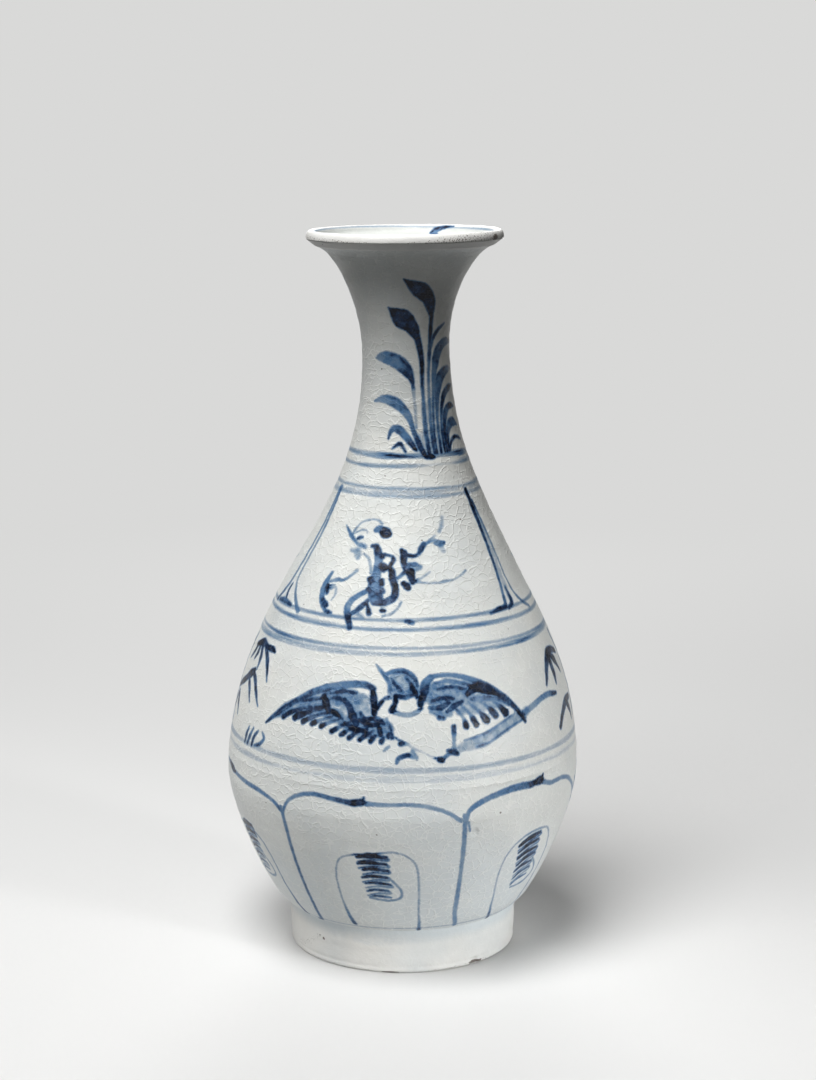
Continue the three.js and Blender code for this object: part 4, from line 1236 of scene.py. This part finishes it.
    # Pinholes, iron specks and stains, and the painted shade at the foot's bottom edge and in its chip
    holes = add(tree, "TexVoronoi", {"Vector": place, "Scale": 1 / sizes.pinhole_cell})
    chance = add(tree, "SeparateColor", {0: holes.outputs["Color"]})
    hole = add(tree, "MapRange", span(chance, 0.72, 1.0, 0.0, 0.055))
    hole = add(tree, "Math", {0: hole, 1: holes.outputs["Distance"]}, operation="SUBTRACT")
    hole = add(tree, "MapRange", span(hole, -0.004, 0.012), **EASED)
    hole_tone = add(tree, "Math", {0: hole, 1: 0.8}, operation="MULTIPLY")
    spot, spot_tone, _ = ink_cover(tree, "iron", fine_edge, 0.25, 0.3)
    spot = add(tree, "Math", {0: spot, 1: spot_tone, 2: noise["grain"]}, operation="MULTIPLY_ADD")
    spot = add(tree, "MapRange", span(spot, 0.97, 1.02, 0.0, 0.85), **EASED)
    brown = add(tree, "Math", {0: spot, 1: hole_tone}, operation="MAXIMUM", use_clamp=True)

    # The colours, one over another
    thin, thick_and_shaded, crackle, iron = ((*getattr(colours, tint), 1) for tint in (thin, thick_and_shaded, "crackle", "iron"))
    glaze = thin
    for share, over, blend in (
        (thickness_and_shade, thick_and_shaded, "MIX"), (1.0, clouds, "MULTIPLY"), (inked, cobalt, "MIX"), (pale, crackle, "MIX"),
        (brown, iron, "MIX"),
    ):
        glaze = add(tree, "Mix", {0: share, 6: glaze, 7: over}, data_type="RGBA", blend_type=blend).outputs[2]

    # Gloss and relief
    patchy = add(tree, "MapRange", span(slow, 0.0, 1.0, roughness - 0.05, roughness + 0.09))
    rough = add(tree, "Math", {0: crack, 1: 0.08, 2: patchy}, operation="MULTIPLY_ADD", use_clamp=True)
    relief = noise["skin"]
    for mark, raised in ((crack, 0.85 * min(cracks_show / 0.34, 1.0)), (hole, -1.2)):
        relief = add(tree, "Math", {0: mark, 1: raised, 2: relief}, operation="MULTIPLY_ADD")
    normal = add(tree, "Bump", {"Height": relief, "Strength": 0.8, "Distance": 0.0002})
    gloss = {"Roughness": rough, "Normal": normal, "IOR": 1.5, "Specular IOR Level": 0.2}
    add(tree, "OutputMaterial", {"Surface": add(tree, "BsdfPrincipled", {"Base Color": glaze, **gloss})})
    return material


class VasePiece:
    """What every section's operator has in common."""

    bl_options = {"REGISTER", "UNDO"}


class VASE_OT_foot_ring(bpy.types.Operator, VasePiece):
    """Turn the foot ring and give it its thin dry glaze"""

    bl_idname = "vase.foot_ring"
    bl_label = "Foot ring"

    def execute(self, context):
        columns = context.scene.vase_sizes.body_columns
        make_piece(Surface("foot_ring"), columns, FOOT_ROW, FOOT_MARKS, [], "foot_glaze", (1.0, 0.4))
        return {"FINISHED"}


class VASE_OT_lower_body(bpy.types.Operator, VasePiece):
    """Turn the lower body with its floor, and paint its lappets"""

    bl_idname = "vase.lower_body"
    bl_label = "Lower body"

    def execute(self, context):
        make_body("lower_body", (1.5, 0.9, 0.3))
        return {"FINISHED"}


class VASE_OT_upper_body(bpy.types.Operator, VasePiece):
    """Turn the upper body, and paint its bird, its bamboo and its panels"""

    bl_idname = "vase.upper_body"
    bl_label = "Upper body"

    def execute(self, context):
        make_body("upper_body", (1.5, 0.8, 0.3))
        return {"FINISHED"}


def make_body(node, levels):
    """Makes one of the body's two sections."""
    sizes = bpy.context.scene.vase_sizes
    inner = (sizes.inner_columns, sizes.inner_row / MM)
    marks, row = all_outside_marks(), sizes.row / MM
    make_piece(Surface(node), sizes.body_columns, row, marks, WHEEL_LINES, "body_glaze", levels, inner)


class VASE_OT_neck(bpy.types.Operator, VasePiece):
    """Turn the neck with its trumpet mouth, and paint its clumps of reeds"""

    bl_idname = "vase.neck"
    bl_label = "Neck"

    def execute(self, context):
        columns, row = context.scene.vase_sizes.neck_columns, context.scene.vase_sizes.neck_row / MM
        marks = all_outside_marks()
        make_piece(Surface("neck"), columns, row, marks, WHEEL_LINES, "body_glaze", (1.1, 0.6, 0.25))
        return {"FINISHED"}


class VASE_OT_lip_ring(bpy.types.Operator, VasePiece):
    """Roll the lip and give it its worn white glaze"""

    bl_idname = "vase.lip_ring"
    bl_label = "Lip ring"

    def execute(self, context):
        surface = Surface("lip_ring", corner=62.0)
        flatten_lip(surface)
        top = surface.along[np.argmax(surface.height)]
        surface.reach = lambda depth: top + np.asarray(depth, float)
        surface.visible, surface.inside = (surface.breaks[1], surface.total), top + RIM_WIDTH
        columns, row = context.scene.vase_sizes.neck_columns, context.scene.vase_sizes.lip_row / MM
        marks = MOUTH_MARKS + moved(MOUTH_MARKS, turn=180) + RIM_SPOTS
        make_piece(surface, columns, row, marks, RIM_LINES, "lip_glaze", (0.8, 0.3))
        return {"FINISHED"}


# Lamps: name, place and aim in m, size across in m, power in W and spread in degrees
LAMPS = [
    ("overhead", (-0.3, -0.52, 1.28), (0, -0.02, 0.14), 0.85, 18.2, 180),
    ("steep", (-0.2, -0.34, 1.4), (0, -0.02, 0.14), 0.6, 5.4, 180),
    ("low_right", (0.88, -0.62, 0.18), (0.01, -0.02, 0.015), 0.2, 0.08, 13),
    ("low_left", (-0.96, -0.5, 0.2), (-0.02, -0.02, 0.015), 0.2, 0.024, 14),
    ("behind", (0.0, 1.2, 0.5), (0, 0, 0.13), 0.6, 6.0, 180),
]


class VASE_OT_studio(bpy.types.Operator):
    """Set up the pale floor, the soft lamps and the camera"""

    bl_idname = "vase.studio"
    bl_label = "Studio"

    def execute(self, context):
        scene = context.scene
        add_floor((*scene.vase_colours.floor, 1))
        add_world((*scene.vase_colours.floor, 1))
        for name, place, aim, size, power, spread in LAMPS:
            data = bpy.data.lights.new(name, "AREA")
            data.shape, data.size, data.energy, data.spread = "DISK", size, power, math.radians(spread)
            lamp = bpy.data.objects.new(name, data)
            scene.collection.objects.link(lamp)
            lamp.location = place
            lamp.visible_camera = False
            lamp.rotation_euler = (Vector(aim) - Vector(place)).to_track_quat("-Z", "Y").to_euler()
        add_camera(scene)
        scene.view_settings.view_transform = "Standard"
        return {"FINISHED"}


def add_floor(pale):
    """A floor of matt paint: an even pale grey without gloss, which fades into a backdrop of the same colour.

    It throws less light back than the camera sees on it, so that the foot isn't lit from below."""
    bpy.ops.object.select_all(action="DESELECT")
    bpy.ops.mesh.primitive_circle_add(vertices=96, radius=12, fill_type="NGON", location=(0, 0, 0))
    floor = bpy.context.object
    floor.name = floor.data.name = "floor"
    material, tree = new_material("matt_painted_floor")
    place = add(tree, "TexCoord").outputs["Object"]
    mottle = add(tree, "TexNoise", {"Vector": place, "Scale": 6.0, "Detail": 4.0})
    shade = add(tree, "MapRange", span(mottle, 0.0, 1.0, 0.98, 1.0))
    tint = add(tree, "Mix", {0: 1.0, 6: pale, 7: shade}, data_type="RGBA", blend_type="MULTIPLY").outputs[2]
    path = add(tree, "LightPath").outputs
    seen = path["Is Camera Ray"]
    for kind in ("Is Glossy Ray", "Is Transmission Ray"):
        seen = add(tree, "Math", {0: seen, 1: path[kind]}, operation="MAXIMUM")
    away = add(tree, "VectorMath", {0: place}, operation="LENGTH").outputs["Value"]
    bounce = add(tree, "MapRange", span(away, 0.08, 0.26, 0.42, 0.06), **EASED)
    base = add(tree, "Mix", {0: seen, 6: bounce, 7: tint}, data_type="RGBA").outputs[2]
    matt = add(tree, "BsdfPrincipled", {"Base Color": base, "Roughness": 0.9, "Specular IOR Level": 0.1})
    backdrop = add(tree, "Emission", {"Color": pale, "Strength": 1.0})
    far = add(tree, "MapRange", span(away, 0.25, 0.9), **EASED)
    far = add(tree, "Math", {0: far, 1: seen}, operation="MULTIPLY")
    add(tree, "OutputMaterial", {"Surface": add(tree, "MixShader", {0: far, 1: matt, 2: backdrop})})
    floor.data.materials.append(material)


def add_world(pale):
    """Even dim light from all round, so that the lamps give the vase its form; the camera sees a backdrop."""
    world = bpy.data.worlds.new("studio")
    bpy.context.scene.world = world
    world.use_nodes = True
    tree = world.node_tree
    tree.nodes.clear()
    camera_ray = add(tree, "LightPath").outputs["Is Camera Ray"]
    even = add(tree, "Background", {"Color": (1, 1, 1, 1), "Strength": 0.02})
    backdrop = add(tree, "Background", {"Color": pale, "Strength": 1.0})
    add(tree, "OutputWorld", {"Surface": add(tree, "MixShader", {0: camera_ray, 1: even, 2: backdrop})})


def add_camera(scene):
    """The camera at the photograph's angle: 828 mm in front, 315 mm up and looking down by 11 degrees."""
    data = bpy.data.cameras.new("camera")
    data.sensor_width = 36.0
    data.lens = LENS_PIXELS / PIXELS_HIGH * data.sensor_width
    camera = bpy.data.objects.new("camera", data)
    scene.collection.objects.link(camera)
    camera.location = (0.0021, -0.828, 0.315)
    camera.rotation_euler = (math.radians(90 - 11.0), 0, 0)
    scene.camera = camera


class VASE_PT_panel(bpy.types.Panel):
    """Lists the vase's pieces, sizes and colours"""

    bl_label = "Stoneware vase"
    bl_idname = "VASE_PT_panel"
    bl_space_type = "VIEW_3D"
    bl_region_type = "UI"
    bl_category = "Vase"

    def draw(self, context):
        layout = self.layout
        for operator in OPERATORS:
            layout.operator(operator.bl_idname)
        for group in (context.scene.vase_sizes, context.scene.vase_colours):
            box = layout.box()
            for name in group.__annotations__:
                box.prop(group, name)


OPERATORS = (
    VASE_OT_foot_ring, VASE_OT_lower_body, VASE_OT_upper_body, VASE_OT_neck, VASE_OT_lip_ring, VASE_OT_studio,
)
CLASSES = (VaseSizes, VaseColours, *OPERATORS, VASE_PT_panel)


def register():
    for cls in CLASSES:
        bpy.utils.register_class(cls)
    bpy.types.Scene.vase_sizes = PointerProperty(type=VaseSizes)
    bpy.types.Scene.vase_colours = PointerProperty(type=VaseColours)


def unregister():
    del bpy.types.Scene.vase_colours
    del bpy.types.Scene.vase_sizes
    for cls in reversed(CLASSES):
        bpy.utils.unregister_class(cls)


def main():
    register()
    bpy.ops.vase.foot_ring()
    bpy.ops.vase.lower_body()
    bpy.ops.vase.upper_body()
    bpy.ops.vase.neck()
    bpy.ops.vase.lip_ring()
    bpy.ops.vase.studio()


if __name__ == "__main__":
    main()
